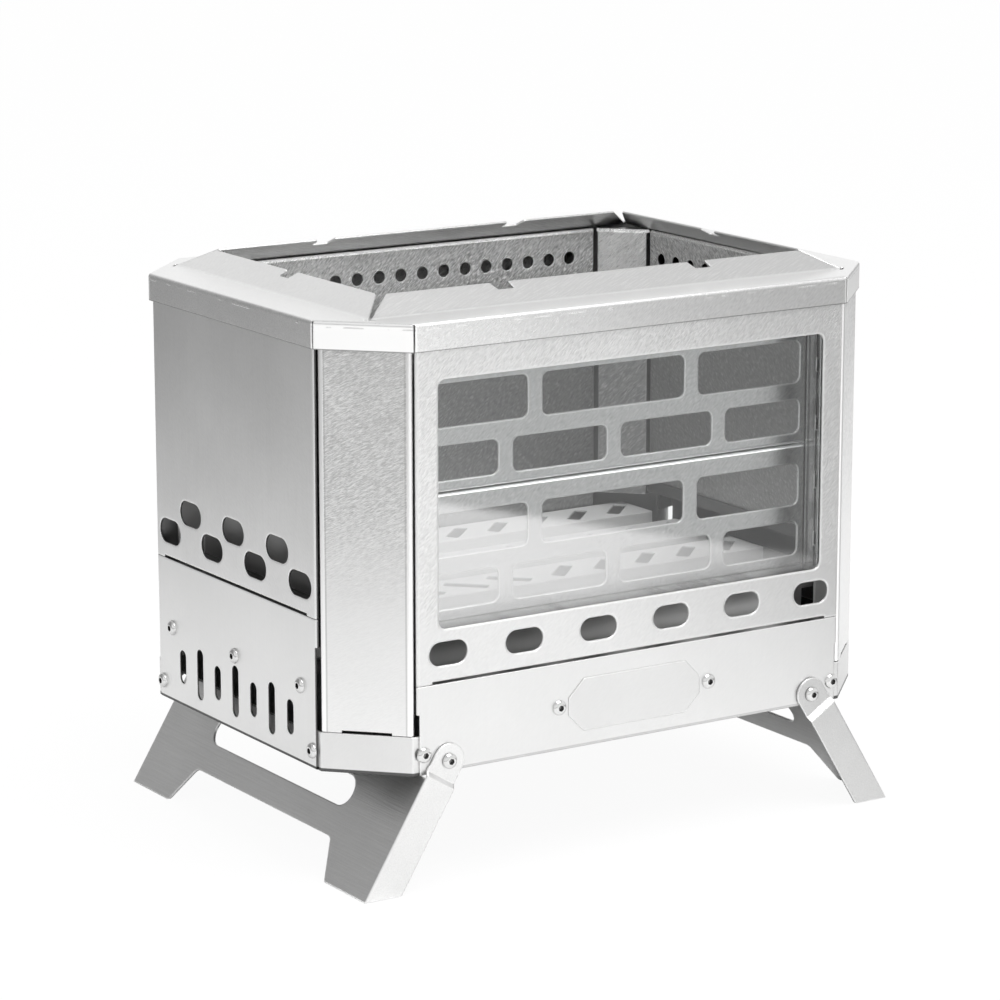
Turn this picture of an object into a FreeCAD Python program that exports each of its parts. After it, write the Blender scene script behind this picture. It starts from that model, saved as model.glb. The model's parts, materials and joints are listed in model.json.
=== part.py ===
import FreeCAD, Part
import os
import re
import Sketcher
from FreeCAD import Placement, Rotation, Vector

doc = FreeCAD.newDocument("FirePit")

# Driving sizes in millimetres and degrees. Heights count up from the base's bottom edge.
dimensions = {
    # overall box of the pit
    "standHeight": 70.0,
    "bodyHeight": 271.0,
    "rimWidth": 400.0,
    "rimDepth": 288.0,
    "rimChamfer": 43.0,
    # top rim: skirt, flat shelf and raised flanges
    "rimSheet": 1.2,
    "rimSlip": 0.3,
    "rimSeat": 0.2,
    "skirtDrop": 17.0,
    "skirtSlit": 1.0,
    "rimBend": 2.2,
    "shelfFront": 25.5,
    "shelfSide": 28.0,
    "flangeRun": 17.5,
    "flangeRise": 11.0,
    "flangeCornerGap": 1.4,
    "flangeCornerFlare": 3.2,
    "flangeRadius": 3.0,
    "reliefRadius": 1.1,
    "reliefReach": 3.0,
    "notchWidth": 13.0,
    "notchDepth": 6.5,
    "notchSlope": 3.0,
    "notchHook": 1.2,
    "notchRadius": 1.2,
    "notchSpread": 72.0,
    # outer wall panels and corner columns
    "wallSheet": 1.0,
    "panelGap": 1.0,
    "returnDepth": 16.0,
    "bendRadius": 1.4,
    "columnBend": 2.4,
    "seatGap": 1.5,
    "seatSlip": 0.4,
    "tabWidth": 11.0,
    "columnTab": 14.0,
    # inner wall panels and corner columns
    "innerGap": 28.0,
    "innerSheet": 1.0,
    "innerLap": 4.0,
    "lapSlip": 0.15,
    "innerDrop": 1.1,
    "innerTopFold": 11.0,
    "innerColumnFoot": 88.0,
    "ventRadius": 4.2,
    "ventPitch": 16.5,
    "ventDrop": 18.0,
    # window, glass pane and brick grilles
    "windowHalf": 140.3,
    "windowBottom": 87.3,
    "windowTop": 236.6,
    "windowRadius": 5.0,
    "glassSheet": 4.0,
    "glassSlip": 0.3,
    "glassTop": 250.0,
    "sillHeight": 85.0,
    "grilleDepth": 25.5,
    "grilleSheet": 1.2,
    "grilleHeight": 77.6,
    "grilleSeam": 0.6,
    "grilleFold": 8.0,
    "grilleRadius": 4.5,
    "grilleBar": 10.4,
    "grilleEdge": 140.2,
    "courseLowBottom": 6.8,
    "courseLowTop": 28.1,
    "courseHighBottom": 38.9,
    "courseHighTop": 65.3,
    "courseLowJoint": 78.1,
    "courseHighJoint": 57.2,
    "channelSheet": 1.0,
    "channelLip": 4.0,
    "channelSlip": 0.2,
    "channelSplay": 1.3,
    "channelTop": 242.0,
    "keySlotLength": 9.0,
    "keySlotWidth": 2.4,
    "keySlotPitch": 37.0,
    # air slots of the walls
    "frontSlotLength": 26.6,
    "frontSlotWidth": 14.5,
    "frontSlotPitch": 53.5,
    "frontSlotHeight": 72.5,
    "sideSlotLength": 27.0,
    "sideSlotWidth": 15.6,
    "sideSlotPitch": 54.0,
    "sideSlotLow": 110.0,
    "sideSlotHigh": 126.0,
    # base panels and base corners
    "baseSheet": 1.2,
    "baseFrontHeight": 54.3,
    "baseSideHeight": 92.0,
    "cornerHeight": 24.0,
    "cornerWing": 14.0,
    "wingSlip": 0.1,
    "lipUpstand": 7.0,
    "lipSlip": 0.2,
    "bottomLip": 12.0,
    "bottomLipInset": 22.0,
    "footBend": 1.0,
    "flangeReach": 17.0,
    "edgeRelief": 0.2,
    "draftSlotWidth": 8.0,
    "draftSlotPitch": 22.5,
    "draftSlotHeight": 25.5,
    "draftSlotLong": 32.4,
    "draftSlotShort": 21.5,
    # nameplate blank
    "plateHalf": 48.5,
    "plateBottom": 9.8,
    "plateTop": 43.0,
    "plateCut": 11.0,
    "plateSheet": 0.6,
    # ash floor, its brackets and the grate ledges
    "floorHeight": 20.2,
    "floorSheet": 1.2,
    "floorInset": 4.0,
    "bracketSheet": 1.2,
    "floorBracketHalf": 72.0,
    "floorBracketTop": 37.0,
    "floorBracketReach": 16.0,
    "ledgeHalf": 92.0,
    "ledgeBottom": 42.5,
    "ledgeReach": 43.0,
    # fire grate
    "grateHalfLength": 165.0,
    "grateHalfDepth": 112.0,
    "grateHeight": 79.5,
    "grateSheet": 1.5,
    "ridgeRise": 11.0,
    "ridgeWidth": 36.0,
    "ridgePitch": 62.5,
    "grateSlotLength": 29.0,
    "grateSlotWidth": 9.0,
    "grateSlotRadius": 1.6,
    "grateSlotPitch": 32.0,
    "grateSlotStart": 20.0,
    # folding leg frames
    "legSpread": 134.5,
    "pivotHeight": 7.0,
    "legAngle": 31.6,
    "legSheet": 1.5,
    "legSlip": 0.3,
    "legJoggle": 2.7,
    "joggleStart": 11.0,
    "joggleRun": 3.0,
    "legHalfWidth": 10.5,
    "webTop": 15.4,
    "webSlotTop": 32.5,
    "webSlotBottom": 52.3,
    "webSlotHalf": 85.0,
    "archTop": 71.3,
    "archHalf": 84.0,
    "archFoot": 99.0,
    "archRadius": 5.0,
    "footRadius": 2.0,
    "foldRelief": 3.0,
    # screws and nuts
    "shankRadius": 2.5,
    "boreSlip": 0.3,
    "headRadius": 4.75,
    "headHeight": 2.6,
    "socketRadius": 1.75,
    "socketDepth": 1.5,
    "shankLength": 7.0,
    "pivotShankLength": 9.5,
    "nutRadius": 4.6,
    "nutHeight": 3.2,
    "frontBracketScrew": 55.3,
    "frontBracketScrewHeight": 27.0,
    "sideBracketScrew": 80.4,
    "sideBracketScrewHeight": 48.0,
    "frontCornerScrew": 151.0,
    "frontCornerScrewHeight": 12.7,
    "sideCornerScrew": 93.7,
    "sideCornerScrewHeight": 11.0,
}

sheet = doc.addObject("Spreadsheet::Sheet", "Dims")
for row, (alias, size) in enumerate(dimensions.items(), start=1):
    sheet.set(f"A{row}", alias)
    sheet.set(f"B{row}", str(size))
    sheet.setAlias(f"B{row}", alias)
gauge = doc.addObject("App::FeaturePython", "Gauge")
gauge.addProperty("App::PropertyFloat", "Reading")
doc.recompute()

aliasWord = re.compile(r"\b[a-z][A-Za-z0-9]*\b")


def formula(text):
    return aliasWord.sub(lambda word: f"Dims.{word[0]}" if word[0] in dimensions else word[0], text)


def bind(thing, prop, text):
    thing.setExpression(prop, formula(text))


def read(text):
    bind(gauge, "Reading", text)
    gauge.recompute()
    return gauge.Reading


# Walls stand inside the rim's skirt; every corner of the plan turns 45 degrees.
mitre = "tan(22.5)"
wallX = "(rimWidth / 2 - rimSheet - rimSlip)"
wallY = "(rimDepth / 2 - rimSheet - rimSlip)"
wallChamfer = "(rimChamfer - (rimSheet + rimSlip) * (2 - sqrt(2)))"
frontHalf = f"({wallX} - {wallChamfer})"
sideHalf = f"({wallY} - {wallChamfer})"
cornerHalf = f"({wallChamfer} / sqrt(2))"
cornerX = f"({wallX} - {wallChamfer} / 2)"
cornerY = f"({wallY} - {wallChamfer} / 2)"
wallTop = "(bodyHeight - rimSheet - rimSeat)"
innerTop = "(bodyHeight - rimSheet - innerDrop)"
lipDepth = "(innerGap + lipSlip + baseSheet)"

# Each side has a turn about Z, the middle of its outer face and its half width.
walls = {
    "front": (0, "0", f"-{wallY}", frontHalf),
    "right": (90, wallX, "0", sideHalf),
    "rear": (180, "0", wallY, frontHalf),
    "left": (270, f"-{wallX}", "0", sideHalf),
}
corners = {
    "front_right": (45, cornerX, f"-{cornerY}", cornerHalf),
    "rear_right": (135, cornerX, cornerY, cornerHalf),
    "rear_left": (225, f"-{cornerX}", cornerY, cornerHalf),
    "front_left": (315, f"-{cornerX}", f"-{cornerY}", cornerHalf),
}


def newBody(name, turn=0, x="0", y="0", z="standHeight"):
    body = doc.addObject("PartDesign::Body", name)
    body.Label = name
    body.Placement = Placement(Vector(), Rotation(Vector(0, 0, 1), turn))
    bind(body, "Placement.Base.x", x)
    bind(body, "Placement.Base.y", y)
    bind(body, "Placement.Base.z", z)
    return body


def newSketch(body, name, plane, offset="0"):
    sketch = body.newObject("Sketcher::SketchObject", f"{body.Name}_{name}")
    origin = next(item for item in body.Origin.OriginFeatures if item.Role == plane)
    sketch.AttachmentSupport = [(origin, "")]
    sketch.MapMode = "FlatFace"
    bind(sketch, "AttachmentOffset.Base.z", offset)
    return sketch


def lean(sketch, axis, angle, x, y="0"):
    sketch.AttachmentOffset = Placement(Vector(), Rotation(axis, read(angle)))
    bind(sketch, "AttachmentOffset.Rotation.Angle", angle)
    bind(sketch, "AttachmentOffset.Base.x", x)
    bind(sketch, "AttachmentOffset.Base.y", y)
    doc.recompute()


def place(sketch, geometry, pins, ties):
    # pins hold one point of an edge at written coordinates, ties join the ends of two edges
    first = sketch.GeometryCount
    sketch.addGeometry(geometry, False)
    for kind, (edge, end, other, otherEnd) in ties:
        sketch.addConstraint(Sketcher.Constraint(kind, first + edge, end, first + other, otherEnd))
    for kind, parts, text in pins:
        edge = parts[0] + first
        if kind == "Radius":
            index = sketch.addConstraint(Sketcher.Constraint(kind, edge, read(text)))
        else:
            index = sketch.addConstraint(Sketcher.Constraint(kind, -1, 1, edge, parts[1], read(text)))
        bind(sketch, f"Constraints[{index}]", text)


def polygon(sketch, points):
    spots = [Vector(read(x), read(y), 0) for x, y in points]
    count = len(points)
    lines = [Part.LineSegment(spots[i], spots[(i + 1) % count]) for i in range(count)]
    ties = [("Coincident", (i, 2, (i + 1) % count, 1)) for i in range(count)]
    pins = []
    for i, (x, y) in enumerate(points):
        pins.append(("DistanceX", (i, 1), x))
        pins.append(("DistanceY", (i, 1), y))
    place(sketch, lines, pins, ties)


def rounded(sketch, centres, radius):
    # outline that a disc of the radius draws when its middle goes round the centres
    spots = [Vector(read(x), read(y), 0) for x, y in centres]
    reach = read(radius)
    count = len(spots)
    headings = [(spots[(i + 1) % count] - spots[i]).normalize() for i in range(count)]
    outward = [Vector(heading.y, -heading.x, 0) for heading in headings]
    geometry = []
    ties = []
    pins = [("Radius", (0,), radius)]
    for i, spot in enumerate(spots):
        start = spot + outward[i - 1] * reach
        end = spot + outward[i] * reach
        middle = spot + (outward[i - 1] + outward[i] + headings[i - 1] - headings[i]).normalize() * reach
        geometry.append(Part.Arc(start, middle, end))
        following = spots[(i + 1) % count]
        geometry.append(Part.LineSegment(end, following + outward[i] * reach))
        ties.append(("Tangent", (2 * i, 2, 2 * i + 1, 1)))
        ties.append(("Tangent", (2 * i + 1, 2, (2 * i + 2) % (2 * count), 1)))
        pins.append(("DistanceX", (2 * i, 3), centres[i][0]))
        pins.append(("DistanceY", (2 * i, 3), centres[i][1]))
    place(sketch, geometry, pins, ties)
    first = sketch.GeometryCount - 2 * count
    equals = [Sketcher.Constraint("Equal", first, first + 2 * i) for i in range(1, count)]
    sketch.addConstraint(equals)


def slot(sketch, x, y, length, width, upright=False):
    reach = f"(({length}) - ({width})) / 2"
    ends = [(x, f"{y} - {reach}"), (x, f"{y} + {reach}")] if upright else [
        (f"{x} - {reach}", y), (f"{x} + {reach}", y)]
    rounded(sketch, ends, f"({width}) / 2")


def window(sketch, left, right, bottom, top, radius):
    nearX = f"{left} + {radius}"
    farX = f"{right} - {radius}"
    nearY = f"{bottom} + {radius}"
    farY = f"{top} - {radius}"
    rounded(sketch, [(nearX, nearY), (farX, nearY), (farX, farY), (nearX, farY)], radius)


def circle(sketch, x, y, radius):
    ring = Part.Circle(Vector(read(x), read(y), 0), Vector(0, 0, 1), read(radius))
    pins = [("DistanceX", (0, 3), x), ("DistanceY", (0, 3), y), ("Radius", (0,), radius)]
    place(sketch, [ring], pins, [])


def settle(feature):
    doc.recompute()
    if not feature.isValid() or feature.Shape.isNull():
        raise ValueError(f"{feature.Name} did not build: {feature.getStatusString()}")
    return feature


def pad(body, sketch, length, back=False):
    feature = body.newObject("PartDesign::Pad", f"{sketch.Name}_pad")
    feature.Profile = sketch
    feature.Reversed = back
    bind(feature, "Length", length)
    return settle(feature)


def pocket(body, sketch, length, back=False):
    before = body.Tip.Shape.Volume
    feature = body.newObject("PartDesign::Pocket", f"{sketch.Name}_pocket")
    feature.Profile = sketch
    feature.Reversed = back
    bind(feature, "Length", length)
    settle(feature)
    if not feature.Shape.Volume < before:
        raise ValueError(f"{feature.Name} cuts nothing")
    return feature


def fillet(body, radius, wanted):
    base = body.Tip
    edges = [f"Edge{i}" for i, edge in enumerate(base.Shape.Edges, start=1) if wanted(edge)]
    feature = body.newObject("PartDesign::Fillet", f"{body.Name}_bends")
    feature.Base = (base, edges)
    bind(feature, "Radius", radius)
    return settle(feature)


def spans(edge):
    box = edge.BoundBox
    return box.XLength, box.YLength, box.ZLength


def isUprightBend(edge):
    # upright edge on the outer face, away from the slots
    x, y, z = spans(edge)
    return z > 12 and x + y < 1e-6 and abs(edge.BoundBox.YMin) < 1e-6


def isInnerColumnBend(edge):
    # upright edge where a column's inner face meets its bent ends
    x, y, z = spans(edge)
    return z > 12 and x + y < 1e-6 and abs(edge.BoundBox.YMin - read("wallSheet")) < 1e-6


def channelOutline(start, face, back, tip, thickness):
    # plan of a sheet whose two ends are bent back along the mitre lines
    def at(depth):
        return f"({start} - {mitre} * ({depth}))"
    across = f"({thickness} / cos(22.5))"
    right = [(at(face), face), (at(tip), tip), (f"({at(tip)} - {across})", tip),
             (f"({at(back)} - {across})", back)]
    return right + [(f"-{x}", y) for x, y in reversed(right)]


def channel(body, name, bottom, height, outline):
    sketch = newSketch(body, name, "XY_Plane", bottom)
    polygon(sketch, outline)
    pad(body, sketch, height)


def footGap(body, edge, bottom):
    # lifts the lower edge of a sheet between the two tabs that it stands on
    gap = newSketch(body, "foot_gap", "XZ_Plane")
    polygon(gap, [(f"-{edge}", bottom), (edge, bottom), (edge, f"{bottom} + seatGap"),
                  (f"-{edge}", f"{bottom} + seatGap")])
    pocket(body, gap, "wallSheet * 2")


def wallPanel(name, side, bottom):
    turn, x, y, half = side
    body = newBody(name, turn, x, y)
    start = f"({half} - panelGap / 2)"
    channel(body, "plan", bottom, f"{wallTop} - ({bottom})",
            channelOutline(start, "0", "wallSheet", "returnDepth", "wallSheet"))
    fillet(body, "bendRadius", isUprightBend)
    footGap(body, f"({start} - tabWidth)", bottom)
    return body


def frontSlots(body):
    sketch = newSketch(body, "slots", "XZ_Plane")
    for step in (-2.5, -1.5, -0.5, 0.5, 1.5, 2.5):
        slot(sketch, f"{step} * frontSlotPitch", "frontSlotHeight", "frontSlotLength", "frontSlotWidth")
    pocket(body, sketch, "wallSheet * 2")


def sideSlots(body):
    sketch = newSketch(body, "slots", "XZ_Plane")
    for step in (-1.5, -0.5, 0.5, 1.5):
        slot(sketch, f"{step} * sideSlotPitch", "sideSlotLow", "sideSlotLength", "sideSlotWidth")
    for step in (-1, 0, 1):
        slot(sketch, f"{step} * sideSlotPitch", "sideSlotHigh", "sideSlotLength", "sideSlotWidth")
    pocket(body, sketch, "wallSheet * 2")


frontFoot = "(baseFrontHeight + seatSlip)"
sideFoot = "(baseSideHeight + seatSlip)"
parts = []

frontPanel = wallPanel("front_panel", walls["front"], frontFoot)
frontSlots(frontPanel)
opening = newSketch(frontPanel, "window", "XZ_Plane")
window(opening, "-windowHalf", "windowHalf", "windowBottom", "windowTop", "windowRadius")
pocket(frontPanel, opening, "wallSheet * 2")
rearPanel = wallPanel("rear_panel", walls["rear"], frontFoot)
frontSlots(rearPanel)
parts += [frontPanel, rearPanel]
for sideName in ("left", "right"):
    sidePanel = wallPanel(f"{sideName}_panel", walls[sideName], sideFoot)
    sideSlots(sidePanel)
    parts.append(sidePanel)


def cornerColumn(name, side):
    turn, x, y, half = side
    body = newBody(name, turn, x, y)
    bottom = "(cornerHeight + seatSlip)"
    start = f"({half} - panelGap / 2)"
    channel(body, "plan", bottom, f"{wallTop} - {bottom}",
            channelOutline(start, "0", "wallSheet", "returnDepth", "wallSheet"))
    fillet(body, "columnBend - wallSheet", isInnerColumnBend)
    fillet(body, "columnBend", isUprightBend)
    footGap(body, f"({start} - columnTab)", bottom)
    return body


def innerStart(half):
    # inner sheets lap inside the bent ends of the outer ones
    return f"({half} - panelGap / 2 - wallSheet / cos(22.5) - lapSlip)"


innerOutlineDepths = ("innerGap", "innerGap - innerSheet", "returnDepth - innerLap", "innerSheet")


def isInnerTopBend(edge):
    # long level edge where the inner sheet turns outward at its top
    x, y, z = spans(edge)
    level = abs(edge.BoundBox.ZMax - read(innerTop)) < 1e-6
    front = abs(edge.BoundBox.YMax - read("innerGap")) < 1e-6
    return x > 12 and y + z < 1e-6 and level and front


def innerWall(name, side, bottom, vents):
    turn, x, y, half = side
    body = newBody(name, turn, x, y)
    start = innerStart(half)
    channel(body, "plan", bottom, f"{innerTop} - ({bottom})", channelOutline(start, *innerOutlineDepths))
    fold = newSketch(body, "top_fold", "XY_Plane", f"{innerTop} - innerSheet")
    near = f"({start} - {mitre} * innerGap)"
    polygon(fold, [(f"-{near}", "innerGap"), (f"-{near}", "innerGap - innerTopFold"),
                   (near, "innerGap - innerTopFold"), (near, "innerGap")])
    pad(body, fold, "innerSheet")
    fillet(body, "bendRadius", isInnerTopBend)
    if vents:
        holes = newSketch(body, "vents", "XZ_Plane", "-innerGap")
        for i in range(vents):
            circle(holes, f"{i - (vents - 1) / 2} * ventPitch", f"{innerTop} - ventDrop", "ventRadius")
        pocket(body, holes, "innerSheet * 2", back=True)
    return body


for cornerName, side in corners.items():
    parts.append(cornerColumn(f"{cornerName}_column", side))
    parts.append(innerWall(f"{cornerName}_inner_column", side, "innerColumnFoot", 0))
parts.append(innerWall("rear_inner_panel", walls["rear"], "baseFrontHeight", 16))
parts.append(innerWall("left_inner_panel", walls["left"], "baseSideHeight", 10))
parts.append(innerWall("right_inner_panel", walls["right"], "baseSideHeight", 10))


# Front wall: sill, glass pane, window channels and two brick grilles
sillBack = "(grilleDepth + grilleSheet)"
channelBack = f"({sillBack} + channelSlip + channelSheet)"
channelHalf = f"({frontHalf} - {mitre} * {channelBack} + channelSplay)"
channelFront = "(wallSheet + glassSlip + glassSheet + glassSlip)"
grilleHalf = f"({channelHalf} - channelSheet - glassSlip)"


def frontBody(name):
    turn, x, y, half = walls["front"]
    return newBody(name, turn, x, y)


sill = frontBody("window_sill")
sillShelf = newSketch(sill, "shelf", "XY_Plane", "sillHeight - wallSheet")
polygon(sillShelf, [(f"-{channelHalf}", "wallSheet + glassSlip"), (channelHalf, "wallSheet + glassSlip"),
                    (channelHalf, sillBack), (f"-{channelHalf}", sillBack)])
pad(sill, sillShelf, "wallSheet")
sillApron = newSketch(sill, "apron", "XY_Plane", "baseFrontHeight")
polygon(sillApron, [(f"-{channelHalf}", "grilleDepth"), (channelHalf, "grilleDepth"),
                    (channelHalf, sillBack), (f"-{channelHalf}", sillBack)])
pad(sill, sillApron, "sillHeight - baseFrontHeight")
parts.append(sill)

glass = frontBody("glass_pane")
pane = newSketch(glass, "pane", "XZ_Plane", "-(wallSheet + glassSlip)")
window(pane, f"-{channelHalf}", channelHalf, "sillHeight", "glassTop", "windowRadius")
pad(glass, pane, "glassSheet", back=True)
parts.append(glass)


def windowChannel(name, sign):
    body = frontBody(name)
    outer = channelHalf
    inner = f"({channelHalf} - channelSheet)"
    lip = f"({channelHalf} - channelSheet - channelLip)"
    section = [(lip, channelFront), (outer, channelFront), (outer, channelBack), (lip, channelBack),
               (lip, f"{channelBack} - channelSheet"), (inner, f"{channelBack} - channelSheet"),
               (inner, f"{channelFront} + channelSheet"), (lip, f"{channelFront} + channelSheet")]
    points = [(f"{sign} * {x}", y) for x, y in section]
    channel(body, "plan", "sillHeight", "channelTop - sillHeight", points)
    keys = newSketch(body, "key_slots", "YZ_Plane", f"{sign} * {outer}")
    for step in range(4):
        slot(keys, f"({channelFront} + {channelBack}) / 2 - 3 * channelSheet",
             f"sillHeight + keySlotPitch * {step + 0.5}", "keySlotLength", "keySlotWidth", upright=True)
    pocket(body, keys, "channelSheet * 2", back=sign < 0)
    return body


parts.append(windowChannel("left_window_channel", -1))
parts.append(windowChannel("right_window_channel", 1))


def isGrilleBend(edge):
    x, y, z = spans(edge)
    return x > 200 and y + z < 1e-6 and abs(edge.BoundBox.YMin - read("grilleDepth")) < 1e-6


def brickGrille(name, bottom):
    body = frontBody(name)
    face = newSketch(body, "face", "XZ_Plane", "-grilleDepth")
    top = f"({bottom} + grilleHeight)"
    polygon(face, [(f"-{grilleHalf}", bottom), (grilleHalf, bottom), (grilleHalf, top),
                   (f"-{grilleHalf}", top)])
    pad(body, face, "grilleSheet", back=True)
    foldHalf = f"({grilleHalf} - channelLip - 2 * channelSlip)"
    for foldName, level in (("low", bottom), ("high", f"{top} - grilleSheet")):
        fold = newSketch(body, f"{foldName}_fold", "XY_Plane", level)
        polygon(fold, [(f"-{foldHalf}", "grilleDepth"), (foldHalf, "grilleDepth"),
                       (foldHalf, "grilleDepth + grilleFold"), (f"-{foldHalf}", "grilleDepth + grilleFold")])
        pad(body, fold, "grilleSheet")
    fillet(body, "bendRadius", isGrilleBend)
    bricks = newSketch(body, "bricks", "XZ_Plane", "-grilleDepth")
    low = (f"{bottom} + courseLowBottom", f"{bottom} + courseLowTop")
    high = (f"{bottom} + courseHighBottom", f"{bottom} + courseHighTop")
    halfBar = "grilleBar / 2"
    window(bricks, f"-courseHighJoint + {halfBar}", f"courseHighJoint - {halfBar}", *high, "grilleRadius")
    for sign in (-1, 1):
        spansOut = ((halfBar, f"courseLowJoint - {halfBar}", low),
                    (f"courseLowJoint + {halfBar}", "grilleEdge", low),
                    (f"courseHighJoint + {halfBar}", "grilleEdge", high))
        for near, far, (base, crown) in spansOut:
            ends = (near, far) if sign > 0 else (f"-({far})", f"-({near})")
            window(bricks, *ends, base, crown, "grilleRadius")
    pocket(body, bricks, "grilleSheet * 1.5")
    return body


parts.append(brickGrille("lower_brick_grille", "sillHeight"))
parts.append(brickGrille("upper_brick_grille", "(sillHeight + grilleHeight + grilleSeam)"))


def isFootBend(edge):
    # long level edge at the foot of a base panel's outer face
    x, y, z = spans(edge)
    low = abs(edge.BoundBox.ZMax) < 1e-6 and abs(edge.BoundBox.YMax) < 1e-6
    return x > 100 and y + z < 1e-6 and low


def basePanel(name, side, height):
    turn, x, y, half = side
    body = newBody(name, turn, x, y)
    start = f"({half} - panelGap / 2)"
    inset = f"({start} - {mitre} * baseSheet)"
    plate = newSketch(body, "plate", "XY_Plane")
    polygon(plate, [(f"-{start}", "0"), (start, "0"), (inset, "baseSheet"), (f"-{inset}", "baseSheet")])
    pad(body, plate, height)
    flangeFoot = f"({height} - flangeReach)"
    channel(body, "flanges", flangeFoot, "flangeReach",
            channelOutline(start, "0", "baseSheet", "returnDepth", "baseSheet"))
    fillet(body, "bendRadius", isUprightBend)
    relief = newSketch(body, "end_relief", "XZ_Plane")
    near = f"({start} - bendRadius / tan(33.75) - edgeRelief)"
    far = f"({start} + baseSheet)"
    for sign in ("-", ""):
        polygon(relief, [(f"{sign}{near}", "-baseSheet"), (f"{sign}{far}", "-baseSheet"),
                         (f"{sign}{far}", flangeFoot), (f"{sign}{near}", flangeFoot)])
    pocket(body, relief, "baseSheet * 2")
    tip = f"({start} - {mitre} * {lipDepth})"
    lip = newSketch(body, "top_lip", "XY_Plane", f"{height} - baseSheet")
    polygon(lip, [(f"-{inset}", "baseSheet"), (inset, "baseSheet"), (tip, lipDepth), (f"-{tip}", lipDepth)])
    pad(body, lip, "baseSheet")
    upstand = newSketch(body, "upstand", "XY_Plane", f"{height} - baseSheet")
    polygon(upstand, [(f"-{tip}", f"{lipDepth} - baseSheet"), (tip, f"{lipDepth} - baseSheet"),
                      (tip, lipDepth), (f"-{tip}", lipDepth)])
    pad(body, upstand, "lipUpstand + baseSheet")
    foot = newSketch(body, "bottom_lip", "XY_Plane")
    footHalf = f"({start} - bottomLipInset)"
    polygon(foot, [(f"-{footHalf}", "0"), (footHalf, "0"), (footHalf, "bottomLip"),
                   (f"-{footHalf}", "bottomLip")])
    pad(body, foot, "baseSheet")
    fillet(body, "footBend", isFootBend)
    return body


def boreRow(body, spots):
    sketch = newSketch(body, "bores", "XZ_Plane")
    for x, z in spots:
        circle(sketch, x, z, "shankRadius + boreSlip")
    pocket(body, sketch, "baseSheet * 2")


frontBores = []
sideBores = [("0", "sideBracketScrewHeight")]
for sign in ("-", ""):
    frontBores += [(f"{sign}frontBracketScrew", "frontBracketScrewHeight"),
                   (f"{sign}frontCornerScrew", "frontCornerScrewHeight"),
                   (f"{sign}legSpread", "pivotHeight")]
    sideBores += [(f"{sign}sideBracketScrew", "sideBracketScrewHeight"),
                  (f"{sign}sideCornerScrew", "sideCornerScrewHeight")]

for sideName in ("front", "rear"):
    basePart = basePanel(f"base_{sideName}_panel", walls[sideName], "baseFrontHeight")
    boreRow(basePart, frontBores)
    parts.append(basePart)
for sideName in ("left", "right"):
    basePart = basePanel(f"base_{sideName}_panel", walls[sideName], "baseSideHeight")
    boreRow(basePart, sideBores)
    drafts = newSketch(basePart, "draft_slots", "XZ_Plane")
    for step in range(-3, 4):
        tall = "draftSlotLong" if step % 2 == 0 else "draftSlotShort"
        slot(drafts, f"{step} * draftSlotPitch", "draftSlotHeight", tall, "draftSlotWidth", upright=True)
    pocket(basePart, drafts, "baseSheet * 2")
    parts.append(basePart)


# Distance of the corner screw from the plan's corner, and its height, on the two kinds of wall
frontWing = (f"({frontHalf} - frontCornerScrew)", "frontCornerScrewHeight")
sideWing = (f"({sideHalf} - sideCornerScrew)", "sideCornerScrewHeight")
wings = {
    "front_right": (frontWing, sideWing),
    "rear_right": (sideWing, frontWing),
    "rear_left": (frontWing, sideWing),
    "front_left": (sideWing, frontWing),
}


def baseCorner(name, side, screws):
    turn, x, y, half = side
    body = newBody(name, turn, x, y)
    knee = f"({half} - (baseSheet + wingSlip) * sqrt(2))"
    drop = "(cornerWing / sqrt(2))"
    skew = "(baseSheet / sqrt(2))"
    right = [(knee, "0"), (f"({knee} + {drop})", drop),
             (f"({knee} + {drop} - {skew})", f"({drop} + {skew})"),
             (f"({knee} - {mitre} * baseSheet)", "baseSheet")]
    channel(body, "plan", "0", "cornerHeight", right + [(f"-{px}", py) for px, py in reversed(right)])
    fillet(body, "bendRadius", isUprightBend)
    for sign, (distance, height) in zip((-1, 1), screws):
        bore = newSketch(body, "left_bore" if sign < 0 else "right_bore", "XZ_Plane")
        lean(bore, Vector(0, 1, 0), f"{sign * 45}", f"{sign} * {half}")
        circle(bore, f"{sign} * {distance}", height, "shankRadius + boreSlip")
        pocket(body, bore, "baseSheet * 3")
    return body


for cornerName, side in corners.items():
    parts.append(baseCorner(f"base_{cornerName}_corner", side, wings[cornerName]))


# Ash floor on its brackets, grate ledges and the ridged fire grate
def octagon(halfX, halfY, chamfer):
    nearX = f"({halfX} - {chamfer})"
    nearY = f"({halfY} - {chamfer})"
    quarter = [(halfX, nearY), (nearX, halfY)]
    half = quarter + [(f"-{px}", py) for px, py in reversed(quarter)]
    return half + [(px, f"-{py}") for px, py in reversed(half)]


floor = newBody("ash_floor")
floorPlan = newSketch(floor, "plan", "XY_Plane", "floorHeight - floorSheet")
polygon(floorPlan, octagon(f"({wallX} - floorInset)", f"({wallY} - floorInset)",
                           f"({wallChamfer} - floorInset * (2 - sqrt(2)))"))
pad(floor, floorPlan, "floorSheet")
parts.append(floor)


def angleBracket(name, side, halfLength, bottom, top, reach, shelf):
    turn, x, y, half = side
    body = newBody(name, turn, x, y)
    near = "baseSheet"
    for label, low, high, far in (("web", bottom, top, "baseSheet + bracketSheet"),
                                  ("shelf", f"{shelf} - bracketSheet", shelf, f"baseSheet + {reach}")):
        leg = newSketch(body, label, "XY_Plane", low)
        polygon(leg, [(f"-{halfLength}", near), (halfLength, near), (halfLength, far),
                      (f"-{halfLength}", far)])
        pad(body, leg, f"{high} - ({low})")
    return body


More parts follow.
